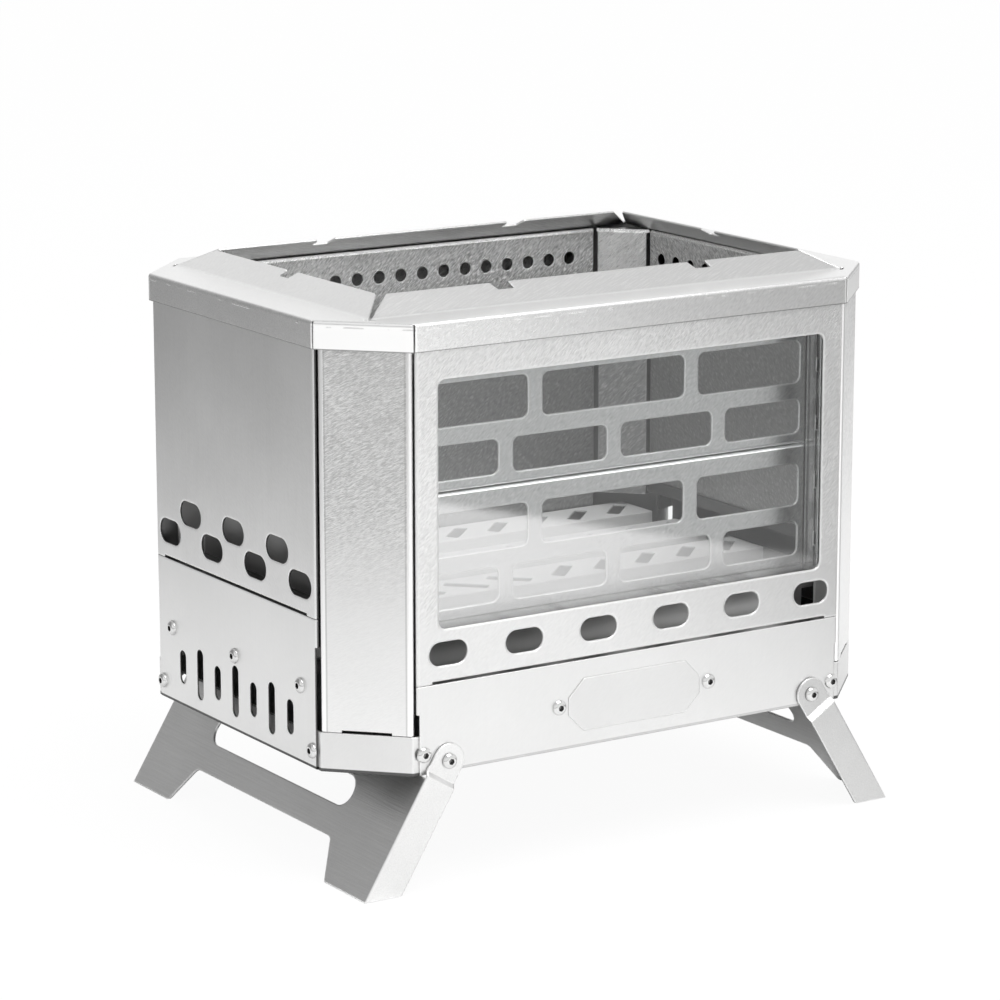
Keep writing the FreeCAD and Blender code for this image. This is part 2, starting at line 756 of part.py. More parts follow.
def bracketBores(body, spots):
    sketch = newSketch(body, "bores", "XZ_Plane", "-baseSheet")
    for x, z in spots:
        circle(sketch, x, z, "shankRadius + boreSlip")
    pocket(body, sketch, "bracketSheet * 1.5")


floorShelf = "(floorHeight - floorSheet)"
for sideName in ("front", "rear"):
    bracket = angleBracket(f"{sideName}_floor_bracket", walls[sideName], "floorBracketHalf",
                           f"{floorShelf} - bracketSheet", "floorBracketTop", "floorBracketReach",
                           floorShelf)
    bracketBores(bracket, [("-frontBracketScrew", "frontBracketScrewHeight"),
                           ("frontBracketScrew", "frontBracketScrewHeight")])
    parts.append(bracket)
grateSeat = "(grateHeight - ridgeRise - grateSheet)"
for sideName in ("left", "right"):
    ledge = angleBracket(f"{sideName}_grate_ledge", walls[sideName], "ledgeHalf", "ledgeBottom", grateSeat,
                         "ledgeReach", grateSeat)
    bracketBores(ledge, [(f"{step} * sideBracketScrew", "sideBracketScrewHeight") for step in (-1, 0, 1)])
    parts.append(ledge)

grate = newBody("fire_grate")
section = newSketch(grate, "section", "YZ_Plane", "-grateHalfLength")
upper = [("-grateHalfDepth", f"{grateSeat} + grateSheet")]
lower = [("-grateHalfDepth", grateSeat)]
for step in (-1.5, -0.5, 0.5, 1.5):
    near = f"({step} * ridgePitch - ridgeWidth / 2)"
    far = f"({step} * ridgePitch + ridgeWidth / 2)"
    upper += [(near, f"{grateSeat} + grateSheet"), (near, "grateHeight"), (far, "grateHeight"),
              (far, f"{grateSeat} + grateSheet")]
    lower += [(f"{near} + grateSheet", grateSeat), (f"{near} + grateSheet", "grateHeight - grateSheet"),
              (f"{far} - grateSheet", "grateHeight - grateSheet"), (f"{far} - grateSheet", grateSeat)]
upper.append(("grateHalfDepth", f"{grateSeat} + grateSheet"))
lower.append(("grateHalfDepth", grateSeat))
polygon(section, upper + lower[::-1])
pad(grate, section, "2 * grateHalfLength")
along = "((grateSlotLength / 2 - grateSlotRadius) / sqrt(2))"
aside = "((grateSlotWidth / 2 - grateSlotRadius) / sqrt(2))"
slotTurns = ((-1, -1), (1, -1), (1, 1), (-1, 1))
for row, rowName in ((-1.5, "first"), (-0.5, "second"), (0.5, "third"), (1.5, "last")):
    cuts = newSketch(grate, f"{rowName}_slots", "XY_Plane", "grateHeight")
    for sign in (-1, 1):
        for step in range(5):
            middleX = f"{sign} * (grateSlotStart + {step} * grateSlotPitch)"
            middleY = f"{row} * ridgePitch"
            centres = [(f"{middleX} + {sign} * ({a} * {along} - {b} * {aside})",
                        f"{middleY} + {a} * {along} + {b} * {aside}") for a, b in slotTurns]
            rounded(cuts, centres if sign > 0 else centres[::-1], "grateSlotRadius")
    pocket(grate, cuts, "grateSheet * 1.5")
parts.append(grate)


# Top rim: skirt ring bent from a flat shelf, with four raised flanges
rim = newBody("top_rim")
rimX = "(rimWidth / 2)"
rimY = "(rimDepth / 2)"
skirtChamfer = "(rimChamfer - rimSheet * (2 - sqrt(2)))"
foldX = f"({rimX} - shelfSide)"
foldY = f"({rimY} - shelfFront)"
skirt = newSketch(rim, "skirt", "XY_Plane", "bodyHeight - skirtDrop")
polygon(skirt, octagon(rimX, rimY, "rimChamfer"))
polygon(skirt, octagon(f"({rimX} - rimSheet)", f"({rimY} - rimSheet)", skirtChamfer))
pad(rim, skirt, "skirtDrop")
shelf = newSketch(rim, "shelf", "XY_Plane", "bodyHeight - rimSheet")
polygon(shelf, octagon(f"({rimX} - rimSheet / 2)", f"({rimY} - rimSheet / 2)",
                       "(rimChamfer - rimSheet / 2 * (2 - sqrt(2)))"))
polygon(shelf, [(f"-{foldX}", f"-{foldY}"), (foldX, f"-{foldY}"), (foldX, foldY), (f"-{foldX}", foldY)])
pad(rim, shelf, "rimSheet")


def isRimBend(edge):
    box = edge.BoundBox
    middle = edge.CenterOfMass
    outside = max(abs(middle.x) / read(foldX), abs(middle.y) / read(foldY)) > 1.001
    return box.ZLength < 1e-6 and abs(box.ZMax - read("bodyHeight")) < 1e-6 and outside


fillet(rim, "rimBend", isRimBend)
slits = newSketch(rim, "slits", "XY_Plane", "bodyHeight - skirtDrop")
slitReach = "(rimBend + rimSheet)"
slitCorners = ((rimX, f"({rimY} - rimChamfer)", 22.5), (f"({rimX} - rimChamfer)", rimY, 67.5))
for spotX, spotY, heading in slitCorners:
    outX = f"cos({heading})"
    outY = f"sin({heading})"
    for signX in (-1, 1):
        for signY in (-1, 1):
            polygon(slits, [
                (f"{signX} * ({spotX} + {a} * {slitReach} * {outX} - {b} * skirtSlit / 2 * {outY})",
                 f"{signY} * ({spotY} + {a} * {slitReach} * {outY} + {b} * skirtSlit / 2 * {outX})")
                for a, b in ((1, -1), (1, 1), (-1, 1), (-1, -1))])
pocket(rim, slits, "skirtDrop - rimSheet / 2", back=True)

slope = "atan(flangeRise / flangeRun)"
flangeLength = "sqrt(flangeRun ^ 2 + flangeRise ^ 2)"
rootLap = "rimSheet * 0.6"


def flangeOutline(halfRoot, notches):
    # (along the fold, up the slope); the ends follow the mitre and flare apart
    root = f"({halfRoot} - flangeCornerGap)"
    crown = f"({halfRoot} - flangeRun - flangeCornerGap - flangeCornerFlare)"
    outline = [(f"-{root}", "0"), (f"-{root}", f"-{rootLap}"), (root, f"-{rootLap}"), (root, "0"),
               (crown, flangeLength)]
    for middle in sorted(notches, reverse=True):
        spot = f"{middle} * notchSpread"
        outline += [(f"{spot} + notchWidth / 2", flangeLength),
                    (f"{spot} + notchWidth / 2 + notchHook", f"{flangeLength} - notchDepth"),
                    (f"{spot} - notchWidth / 2 + notchSlope", f"{flangeLength} - notchDepth"),
                    (f"{spot} - notchWidth / 2", flangeLength)]
    return outline + [(f"-{crown}", flangeLength)]


# The sketch of each flange leans on its fold line; the last entry maps (along, up) to the sketch's axes.
alongX = Vector(1, 0, 0)
alongY = Vector(0, 1, 0)
flanges = (
    ("front", alongX, slope, ("0", f"-{foldY}"), foldX, (-1, 1), lambda a, u: (a, u)),
    ("rear", alongX, f"-{slope}", ("0", foldY), foldX, (-1, 1), lambda a, u: (f"-({a})", f"-({u})")),
    ("left", alongY, f"-{slope}", (f"-{foldX}", "0"), foldY, (0,), lambda a, u: (u, a)),
    ("right", alongY, slope, (foldX, "0"), foldY, (0,), lambda a, u: (f"-({u})", f"-({a})")),
)
for flangeName, axis, angle, (offsetX, offsetY), halfRoot, notches, turnPoint in flanges:
    leaf = newSketch(rim, f"{flangeName}_flange", "XY_Plane", "bodyHeight")
    lean(leaf, axis, angle, offsetX, offsetY)
    polygon(leaf, [turnPoint(a, u) for a, u in flangeOutline(halfRoot, notches)])
    pad(rim, leaf, "rimSheet", back=True)


def isFlangeTop(edge):
    # short edge through the sheet at a flange's upper line
    atTop = abs(edge.BoundBox.ZMax - read("bodyHeight + flangeRise")) < 1e-6
    return atTop and abs(edge.Length - read("rimSheet")) < 1e-6


def isFlangeCorner(edge):
    middle = edge.CenterOfMass
    beyond = abs(middle.x) > read("notchSpread + notchWidth") and abs(middle.y) > read("notchWidth")
    return isFlangeTop(edge) and beyond


def isNotchCorner(edge):
    return isFlangeTop(edge) and not isFlangeCorner(edge)


fillet(rim, "notchRadius", isNotchCorner)
fillet(rim, "flangeRadius", isFlangeCorner)
reliefs = newSketch(rim, "reliefs", "XY_Plane", "bodyHeight + rimSheet")
reach = "reliefReach / sqrt(2)"
for signX in (-1, 1):
    for signY in (-1, 1):
        ends = [(f"{signX} * ({foldX} - {reach})", f"{signY} * ({foldY} + {reach})"),
                (f"{signX} * ({foldX} + {reach})", f"{signY} * ({foldY} - {reach})")]
        rounded(reliefs, ends, "reliefRadius")
pocket(rim, reliefs, "rimSheet * 3")
parts.append(rim)


# Nameplate blank on the base's front panel
nameplate = frontBody("nameplate_blank")
plate = newSketch(nameplate, "outline", "XZ_Plane")
polygon(plate, [("-plateHalf", "plateBottom + plateCut"), ("-plateHalf + plateCut", "plateBottom"),
                ("plateHalf - plateCut", "plateBottom"), ("plateHalf", "plateBottom + plateCut"),
                ("plateHalf", "plateTop - plateCut"), ("plateHalf - plateCut", "plateTop"),
                ("-plateHalf + plateCut", "plateTop"), ("-plateHalf", "plateTop - plateCut")])
pad(nameplate, plate, "plateSheet")
parts.append(nameplate)


# Folding leg frame, drawn upright about its pivot line: -Z runs down the leg, -X is its outer side
earFace = f"({wallY} + legSlip)"
legFace = f"({earFace} + legJoggle)"
webHalf = f"({legFace} + legSheet)"
webFace = "(legHalfWidth + legSheet / 3)"
groundDrop = "(standHeight + pivotHeight)"


def groundLine(across):
    # distance down the leg to the ground at a place across the leg, outward counted positive
    return f"(({groundDrop} + ({across}) * sin(legAngle)) / cos(legAngle))"


def isEarCorner(edge):
    x, y, z = spans(edge)
    return x + z < 1e-6 and abs(edge.BoundBox.ZMax - read("legHalfWidth")) < 1e-6 and y < 3


def isLegFold(edge):
    x, y, z = spans(edge)
    outer = abs(edge.BoundBox.XMin + read(webFace)) < 1e-6
    atEnd = abs(abs(edge.BoundBox.YMin) - read(webHalf)) < 1e-6
    return z > 30 and x + y < 1e-6 and outer and atEnd


def isArchCorner(edge):
    x, y, z = spans(edge)
    return x < 3 and y + z < 1e-6 and abs(edge.BoundBox.ZMax + read("archTop")) < 1e-6


def isFootCorner(edge):
    # short straight edge at a corner of a foot
    straight = edge.Curve.TypeId == "Part::GeomLine"
    return straight and edge.Length < 3 and edge.BoundBox.ZMax < -read("archTop + archRadius")


def legFrame(name, turn, sign):
    body = doc.addObject("PartDesign::Body", name)
    body.Label = name
    tilt = Rotation(Vector(0, 1, 0), read("legAngle"))
    body.Placement = Placement(Vector(), Rotation(Vector(0, 0, 1), turn).multiply(tilt))
    bind(body, "Placement.Base.x", f"{sign} * legSpread")
    bind(body, "Placement.Base.z", groundDrop)
    toe = f"-{groundLine(webFace)}"
    heel = f"-{groundLine('-legHalfWidth')}"
    knee = "-(joggleStart + joggleRun)"
    bendCut = "-joggleStart + foldRelief"
    beyond = f"(-{webFace} - legSheet)"
    web = newSketch(body, "web", "YZ_Plane", f"-{webFace}")
    polygon(web, [(f"-{webHalf}", toe), ("-archFoot", toe), ("-archHalf", "-archTop"),
                  ("archHalf", "-archTop"), ("archFoot", toe), (webHalf, toe), (webHalf, "-webTop"),
                  (f"-{webHalf}", "-webTop")])
    pad(body, web, "legSheet")
    for label, way in (("front", -1), ("rear", 1)):
        strip = newSketch(body, f"{label}_flange", "YZ_Plane", f"-{webFace}")
        path = [(earFace, "legHalfWidth"), (f"{earFace} + legSheet", "legHalfWidth"),
                (f"{earFace} + legSheet", "-joggleStart"), (webHalf, knee), (webHalf, toe), (legFace, toe),
                (legFace, knee), (earFace, "-joggleStart")]
        polygon(strip, [(f"{way} * ({across})", up) for across, up in path])
        pad(body, strip, f"{webFace} + legHalfWidth")
    shoulder = newSketch(body, "shoulder", "XZ_Plane", webHalf)
    polygon(shoulder, [(beyond, bendCut), (beyond, "2 * legHalfWidth"),
                       ("-legHalfWidth", "2 * legHalfWidth"), ("-legHalfWidth", bendCut)])
    pocket(body, shoulder, f"2 * {webHalf}")
    bore = newSketch(body, "bore", "XZ_Plane", webHalf)
    circle(bore, "0", "0", "shankRadius + boreSlip")
    pocket(body, bore, f"2 * {webHalf}")
    fillet(body, "legHalfWidth - boreSlip", isEarCorner)
    fillet(body, "bendRadius", isLegFold)
    fillet(body, "archRadius", isArchCorner)
    ground = newSketch(body, "ground", "XZ_Plane", webHalf)
    spare = "legSheet * tan(legAngle)"
    inward = "legHalfWidth + legSheet"
    polygon(ground, [(beyond, f"{toe} - {spare}"), (inward, f"{heel} + {spare}"),
                     (inward, f"{toe} - legHalfWidth"), (beyond, f"{toe} - legHalfWidth")])
    pocket(body, ground, f"2 * {webHalf}")
    fillet(body, "footRadius", isFootCorner)
    holes = newSketch(body, "hand_slot", "YZ_Plane", f"-{webFace}")
    slot(holes, "0", "-(webSlotTop + webSlotBottom) / 2", "2 * webSlotHalf", "webSlotBottom - webSlotTop")
    pocket(body, holes, "legSheet * 1.5", back=True)
    return body


parts.append(legFrame("left_leg_frame", 0, -1))
parts.append(legFrame("right_leg_frame", 180, 1))


# Screws and nuts, each a group of like solids on one node
def turned(name, profile):
    body = newBody(name, z="0")
    sketch = newSketch(body, "profile", "XY_Plane")
    polygon(sketch, profile)
    feature = body.newObject("PartDesign::Revolution", f"{name}_turn")
    feature.Profile = sketch
    feature.ReferenceAxis = (sketch, ["V_Axis"])
    feature.Angle = 360
    settle(feature)
    return body


def hexagon(sketch, radius):
    polygon(sketch, [(f"{radius} * cos({turn})", f"{radius} * sin({turn})") for turn in range(0, 360, 60)])


def screwMaster(name, length):
    body = turned(name, [("0", "-headHeight"), ("headRadius * 0.45", "-headHeight"),
                         ("headRadius * 0.84", "-headHeight * 0.72"), ("headRadius", "-headHeight * 0.28"),
                         ("headRadius", "0"), ("shankRadius", "0"), ("shankRadius", length), ("0", length)])
    socket = newSketch(body, "socket", "XZ_Plane", "headHeight")
    hexagon(socket, "socketRadius")
    pocket(body, socket, "socketDepth")
    return body


cornerScrew = screwMaster("screw_master", "shankLength")
pivotScrew = screwMaster("pivot_screw_master", "pivotShankLength")
nut = newBody("nut_master", z="0")
nutFace = newSketch(nut, "face", "XZ_Plane")
hexagon(nutFace, "nutRadius")
circle(nutFace, "0", "0", "shankRadius + boreSlip")
pad(nut, nutFace, "nutHeight", back=True)


def group(name, master, spots):
    # spots are (side, place along the side, height, depth behind the side's face)
    links = []
    for index, (sideName, along, height, depth) in enumerate(spots):
        turn, x, y, half = walls[sideName]
        link = doc.addObject("App::Link", f"{name}_{index}")
        link.LinkedObject = master
        link.Placement = Placement(Vector(), Rotation(Vector(0, 0, 1), turn))
        bind(link, "Placement.Base.x", f"{x} + cos({turn}) * ({along}) - sin({turn}) * ({depth})")
        bind(link, "Placement.Base.y", f"{y} + sin({turn}) * ({along}) + cos({turn}) * ({depth})")
        bind(link, "Placement.Base.z", f"standHeight + {height}")
        links.append(link)
    bundle = doc.addObject("Part::Compound", name)
    bundle.Label = name
    bundle.Links = links
    return bundle


cornerSpots = []
bracketSpots = []
for side in ("front", "rear"):
    for sign in (-1, 1):
        cornerSpots.append((side, f"{sign} * frontCornerScrew", "frontCornerScrewHeight"))
        bracketSpots.append((side, f"{sign} * frontBracketScrew", "frontBracketScrewHeight"))
for side in ("left", "right"):
    cornerSpots += [(side, f"{sign} * sideCornerScrew", "sideCornerScrewHeight") for sign in (-1, 1)]
    bracketSpots += [(side, f"{sign} * sideBracketScrew", "sideBracketScrewHeight") for sign in (-1, 0, 1)]
pivotSpots = {"left": [("front", "-legSpread", "pivotHeight"), ("rear", "legSpread", "pivotHeight")],
              "right": [("front", "legSpread", "pivotHeight"), ("rear", "-legSpread", "pivotHeight")]}
wingBack = "baseSheet * 2 + wingSlip"
parts.append(group("corner_screws", cornerScrew, [spot + ("0",) for spot in cornerSpots]))
parts.append(group("corner_nuts", nut, [spot + (wingBack,) for spot in cornerSpots]))
parts.append(group("bracket_screws", cornerScrew, [spot + ("0",) for spot in bracketSpots]))
parts.append(group("bracket_nuts", nut, [spot + ("baseSheet + bracketSheet",) for spot in bracketSpots]))
for sideName, spots in pivotSpots.items():
    parts.append(group(f"{sideName}_pivot_screws", pivotScrew,
                       [spot + ("-(legSlip * 2 + legSheet)",) for spot in spots]))
    parts.append(group(f"{sideName}_pivot_nuts", nut, [spot + ("baseSheet",) for spot in spots]))

# Nothing is written unless every object built
doc.recompute()
for item in doc.Objects:
    if "Invalid" in item.State or "Error" in item.State:
        raise ValueError(f"{item.Name} did not build: {item.State}")
for item in parts:
    if item.Shape.isNull() or not item.Shape.isValid():
        raise ValueError(f"{item.Label} has no sound shape")
os.makedirs("parts", exist_ok=True)
for item in parts:
    item.Shape.exportStep(f"parts/{item.Label}.step")
    print(item.Label, len(item.Shape.Solids), round(item.Shape.Volume, 1))
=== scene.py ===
import json
import math
import bpy
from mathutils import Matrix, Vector


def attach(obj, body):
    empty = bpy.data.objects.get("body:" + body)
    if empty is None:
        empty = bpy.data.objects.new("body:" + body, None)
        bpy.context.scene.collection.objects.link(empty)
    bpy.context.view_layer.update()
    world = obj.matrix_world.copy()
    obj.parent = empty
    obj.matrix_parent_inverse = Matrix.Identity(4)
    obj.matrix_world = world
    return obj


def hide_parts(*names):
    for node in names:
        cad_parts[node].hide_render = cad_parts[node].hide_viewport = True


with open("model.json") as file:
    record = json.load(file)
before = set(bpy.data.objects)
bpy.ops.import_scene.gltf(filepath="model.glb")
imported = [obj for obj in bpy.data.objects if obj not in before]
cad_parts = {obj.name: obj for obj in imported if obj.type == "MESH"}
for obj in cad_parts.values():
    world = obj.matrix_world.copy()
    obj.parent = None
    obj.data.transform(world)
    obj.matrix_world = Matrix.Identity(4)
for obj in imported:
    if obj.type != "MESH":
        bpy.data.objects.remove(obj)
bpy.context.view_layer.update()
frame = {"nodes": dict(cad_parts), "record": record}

scene = bpy.context.scene
scene.view_settings.view_transform = "Standard"
print("frame loaded:", len(frame["nodes"]), "nodes")


class Wire:
    # one socket of a node tree; arithmetic on it adds Math nodes
    def __init__(self, tree, socket=None):
        self.tree = tree
        self.socket = socket

    def node(self, kind, settings, sockets, output=0):
        made = self.tree.nodes.new(kind)
        for name, value in settings.items():
            if name == "items":
                for _ in range(value - len(made.index_switch_items)):
                    made.index_switch_items.new()
            else:
                setattr(made, name, value)
        for name, value in sockets.items():
            if isinstance(value, Wire):
                self.tree.links.new(value.socket, made.inputs[name])
            else:
                made.inputs[name].default_value = value
        return Wire(self.tree, made.outputs[output] if made.outputs else None)

    def math(self, operation, *values):
        return self.node("ShaderNodeMath", {"operation": operation}, dict(enumerate(values)))

    def __add__(self, other):
        return self.math("ADD", self, other)

    def __radd__(self, other):
        return self.math("ADD", other, self)

    def __sub__(self, other):
        return self.math("SUBTRACT", self, other)

    def __rsub__(self, other):
        return self.math("SUBTRACT", other, self)

    def __mul__(self, other):
        return self.math("MULTIPLY", self, other)

    def __rmul__(self, other):
        return self.math("MULTIPLY", other, self)

    def __truediv__(self, other):
        return self.math("DIVIDE", self, other)

    def __rtruediv__(self, other):
        return self.math("DIVIDE", other, self)

    def vector(self, operation, *values, output=0):
        return self.node("ShaderNodeVectorMath", {"operation": operation}, dict(enumerate(values)), output)

    def dot(self, other):
        return self.vector("DOT_PRODUCT", self, other, output="Value")

    def axis(self, name):
        return self.node("ShaderNodeSeparateXYZ", {}, {"Vector": self}, name)

    def size(self):
        return self.math("ABSOLUTE", self)

    def sign(self):
        return self.math("SIGN", self)

    def larger(self, other):
        return self.math("MAXIMUM", self, other)

    def clamped(self):
        return self.node("ShaderNodeClamp", {}, {"Value": self})

    def ease(self, low, high):
        # 0 at low, 1 at high, smooth between
        return self.node("ShaderNodeMapRange", {"interpolation_type": "SMOOTHSTEP"},
                         {"Value": self, "From Min": low, "From Max": high})

    def band(self, low, high, soft):
        # 1 from low to high, fading to 0 past both
        return self.ease(low - soft, low) * (1 - self.ease(high, high + soft))

    def noise(self, lengths, turn=(0, 0, 0), detail=2.0, distortion=0.0):
        # cloud of 0 to 1 whose grains have the lengths along axes turned by the angles
        angles = [math.radians(angle) for angle in turn]
        grid = self.node("ShaderNodeMapping", {"vector_type": "TEXTURE"},
                         {"Vector": self, "Rotation": angles, "Scale": lengths})
        return self.node("ShaderNodeTexNoise", {}, {"Vector": grid, "Scale": 1.0, "Detail": detail,
                                                    "Distortion": distortion})

    def swing(self, *sizes, **options):
        # the same cloud from -0.5 to 0.5
        return self.noise(*sizes, **options) - 0.5

    def mix(self, first, second):
        # first colour at 0, second at 1; 6, 7 and output 2 are the node's colour sockets
        return self.node("ShaderNodeMix", {"data_type": "RGBA"}, {0: self, 6: first, 7: second}, 2)


def emptyTree(owner):
    owner.use_nodes = True
    owner.node_tree.nodes.clear()
    return Wire(owner.node_tree)


def newFinish(name):
    material = bpy.data.materials.new(name)
    return material, emptyTree(material).node("ShaderNodeTexCoord", {}, {}, "Object")


def trueNormal(start):
    return start.node("ShaderNodeNewGeometry", {}, {}, "True Normal")


def whiteRay(start):
    # 1 for what the camera sees, straight or through glass
    straight = start.node("ShaderNodeLightPath", {}, {}, "Is Camera Ray")
    return (straight + start.node("ShaderNodeLightPath", {}, {}, "Is Transmission Ray")).clamped()


warmth = 0.995  # blue share of every grey
white = (1, 1, 1, 1)


def grey(level):
    return (level, level, level * warmth, 1)


# Camera at the photograph's viewpoint
cameraSet = {"place": (-1.27595, -1.96531, 0.71899), "azimuth": -32.88, "elevation": 12.69, "lens": 136.19,
             "sensor": 36.0, "near": 0.05, "far": 100.0}


def makeCamera(look):
    data = bpy.data.cameras.new("photoCamera")
    data.sensor_width = look["sensor"]
    data.lens = look["lens"]
    data.clip_start = look["near"]
    data.clip_end = look["far"]
    camera = bpy.data.objects.new("photoCamera", data)
    azimuth = math.radians(look["azimuth"])
    elevation = math.radians(look["elevation"])
    back = Vector((math.sin(azimuth) * math.cos(elevation), -math.cos(azimuth) * math.cos(elevation),
                   math.sin(elevation)))
    camera.location = look["place"]
    camera.rotation_mode = "QUATERNION"
    camera.rotation_quaternion = (-back).to_track_quat("-Z", "Y")
    scene.collection.objects.link(camera)
    scene.camera = camera


makeCamera(cameraSet)
print("camera placed")


# White studio sky, greyer overhead and behind the pit on the left
skySet = {"level": 1.0, "shadedSide": (-0.62, 0.74, 0.25), "shadedFrom": 0.74, "shadedTo": 0.95,
          "shade": 0.66, "highFrom": 0.4, "highTo": 0.9, "highShade": 0.36}


def makeSky(look):
    world = bpy.data.worlds.new("studio")
    scene.world = world
    start = emptyTree(world)
    direction = start.node("ShaderNodeTexCoord", {}, {}, "Generated")
    side = direction.dot(look["shadedSide"]).ease(look["shadedFrom"], look["shadedTo"])
    high = direction.axis("Z").ease(look["highFrom"], look["highTo"])
    level = look["level"] * (1 - side * look["shade"]) * (1 - high * look["highShade"])
    seen = whiteRay(start)
    sky = start.node("ShaderNodeBackground", {}, {"Color": white, "Strength": seen + (1 - seen) * level})
    start.node("ShaderNodeOutputWorld", {}, {"Surface": sky})


# White paper round the pit that turns grey further out, as the steel mirrors it; the camera sees it white
# Each fade greys the paper along its direction, as far as the y that is called until
floorSet = {"half": 30.0, "drop": 0.0004, "white": 0.96, "glow": 0.93, "glowLevel": 1.01,
            "untilSoft": 0.25, "fades": {
                "right": {"toward": (1, 0.4, 0), "from": 0.03, "to": 0.55, "shade": 0.64, "until": -0.15},
                "left": {"toward": (-1, -0.3, 0), "from": 0.8, "to": 1.1, "shade": 0.53, "until": 30.0},
                "back": {"toward": (0, 1, 0), "from": 0.3, "to": 1.35, "shade": 0.55, "until": 30.0}}}


def makeFloor(look):
    half = look["half"]
    corners = [(x * half, y * half, -look["drop"]) for x, y in ((-1, -1), (1, -1), (1, 1), (-1, 1))]
    mesh = bpy.data.meshes.new("floor")
    mesh.from_pydata(corners, [], [(0, 1, 2, 3)])
    floor = bpy.data.objects.new("floor", mesh)
    scene.collection.objects.link(floor)
    material, place = newFinish("floorPaper")
    mesh.materials.append(material)
    level = look["white"]
    for fade in look["fades"].values():
        reach = place.dot(fade["toward"]).ease(fade["from"], fade["to"]) * fade["shade"]
        past = place.axis("Y").ease(fade["until"], fade["until"] + look["untilSoft"])
        level = level * (1 - reach * (1 - past))
    seen = whiteRay(place)
    paper = place.node("ShaderNodeBsdfDiffuse", {}, {"Color": seen + (1 - seen) * level})
    glow = place.node("ShaderNodeEmission", {}, {"Color": white, "Strength": look["glowLevel"]})
    surface = place.node("ShaderNodeMixShader", {}, {0: seen * look["glow"], 1: paper, 2: glow})
    place.node("ShaderNodeOutputMaterial", {}, {"Surface": surface})


# Soft lamp high over the front, and a narrow beam down into the bowl
lampSet = {"front": {"place": (0.15, -0.85, 2.0), "wide": 1.4, "deep": 1.4, "power": 27.0, "spread": 180},
           "bowl": {"place": (0, 0, 0.95), "wide": 0.28, "deep": 0.14, "power": 0.08, "spread": 6}}


def makeLamps(lamps):
    for name, look in lamps.items():
        data = bpy.data.lights.new(name, "AREA")
        data.shape = "RECTANGLE"
        data.size = look["wide"]
        data.size_y = look["deep"]
        data.energy = look["power"]
        data.spread = math.radians(look["spread"])
        lamp = bpy.data.objects.new(name, data)
        lamp.location = look["place"]
        lamp.rotation_mode = "QUATERNION"
        lamp.rotation_quaternion = (-lamp.location).to_track_quat("-Z", "Y")
        lamp.visible_camera = False
        scene.collection.objects.link(lamp)


makeSky(skySet)
makeFloor(floorSet)
makeLamps(lampSet)
print("studio lit")


# Grain of a sheet: drawn streaks, short leaning flakes and soft clouds
grainSet = {"streak": (0.03, 0.0009, 0.0009), "band": (0.5, 0.012, 0.012), "cloud": (0.07, 0.07, 0.07),
            "cloudDetail": 3.0, "waviness": 0.3}


def sheetGrain(place, look):
    along = (0, -look["pitch"], look["yaw"])
    leaning = (0, -look["lean"], look["yaw"])
    grain = place.swing(grainSet["streak"], along) * look["streak"]
    grain = grain + place.swing(grainSet["band"], along) * look["band"]
    grain = grain + place.swing(grainSet["cloud"], detail=grainSet["cloudDetail"]) * look["cloud"]
    return grain + place.swing(look["flakeSize"], leaning, distortion=grainSet["waviness"]) * look["flake"]


def roundedNormal(place, look):
    return place.node("ShaderNodeBevel", {"samples": look["edgeSamples"]}, {"Radius": look["edge"]})


def bowedNormal(place, look, amount, bow):
    # the rounded normal, leaning along the bow by the amount
    leaning = place.vector("MULTIPLY_ADD", amount, bow, roundedNormal(place, look))
    return place.vector("NORMALIZE", leaning)


def steelSurface(place, grain, look, normal=None, paintedShading=None):
    rounded = normal or roundedNormal(place, look)
    bent = 1 - rounded.dot(trueNormal(place))
    # edges are painted lighter, towards edgeTone: a painted highlight
    edge = bent.ease(look["edgeFrom"], look["edgeTo"]) * look["edgeLight"]
    tone = (0.5 + grain).clamped().mix(grey(look["dark"]), grey(look["light"]))  # no grain is the middle tone
    tone = edge.mix(tone, grey(look["edgeTone"]))
    # the given mask paints its own tone over the grain: painted shade in most finishes, painted highlights on
    # the grille folds
    if paintedShading:
        tone = paintedShading.mix(tone, grey(look["stainTone"]))
    rough = look["rough"] - grain * look["roughSwing"]
    relief = place.node("ShaderNodeBump", {}, {"Strength": look["relief"], "Distance": look["reliefDepth"],
                                               "Height": grain, "Normal": rounded})
    surface = place.node("ShaderNodeBsdfPrincipled", {}, {"Base Color": tone, "Metallic": look["metal"],
                                                          "Roughness": rough, "Normal": relief})
    place.node("ShaderNodeOutputMaterial", {}, {"Surface": surface})


def wallAxis(yaw):
    # level direction square to a wall
    turn = math.radians(yaw)
    return (-math.sin(turn), math.cos(turn), 0)


def turnedAway(place, look):
    # 1 on faces that look away from the outer side of their wall
    axis = wallAxis(look["yaw"])
    facing = trueNormal(place).dot(axis) * place.dot(axis).sign()
    return 1 - facing.ease(look["turnFrom"], look["turnTo"])


# What all the steel shares; pitch and lean turn the streaks and flakes, in degrees
plain = {"metal": 1.0, "pitch": 90, "lean": 42, "streak": 0.15, "band": 0.12, "cloud": 0.4, "flake": 0.9,
         "flakeSize": (0.0038, 0.0006, 0.0006), "roughSwing": 0.06, "relief": 0.9, "reliefDepth": 0.0002,
         "edge": 0.0013, "edgeSamples": 4, "edgeFrom": 0.0, "edgeTo": 0.06, "edgeLight": 1.0, "edgeTone": 1.0}

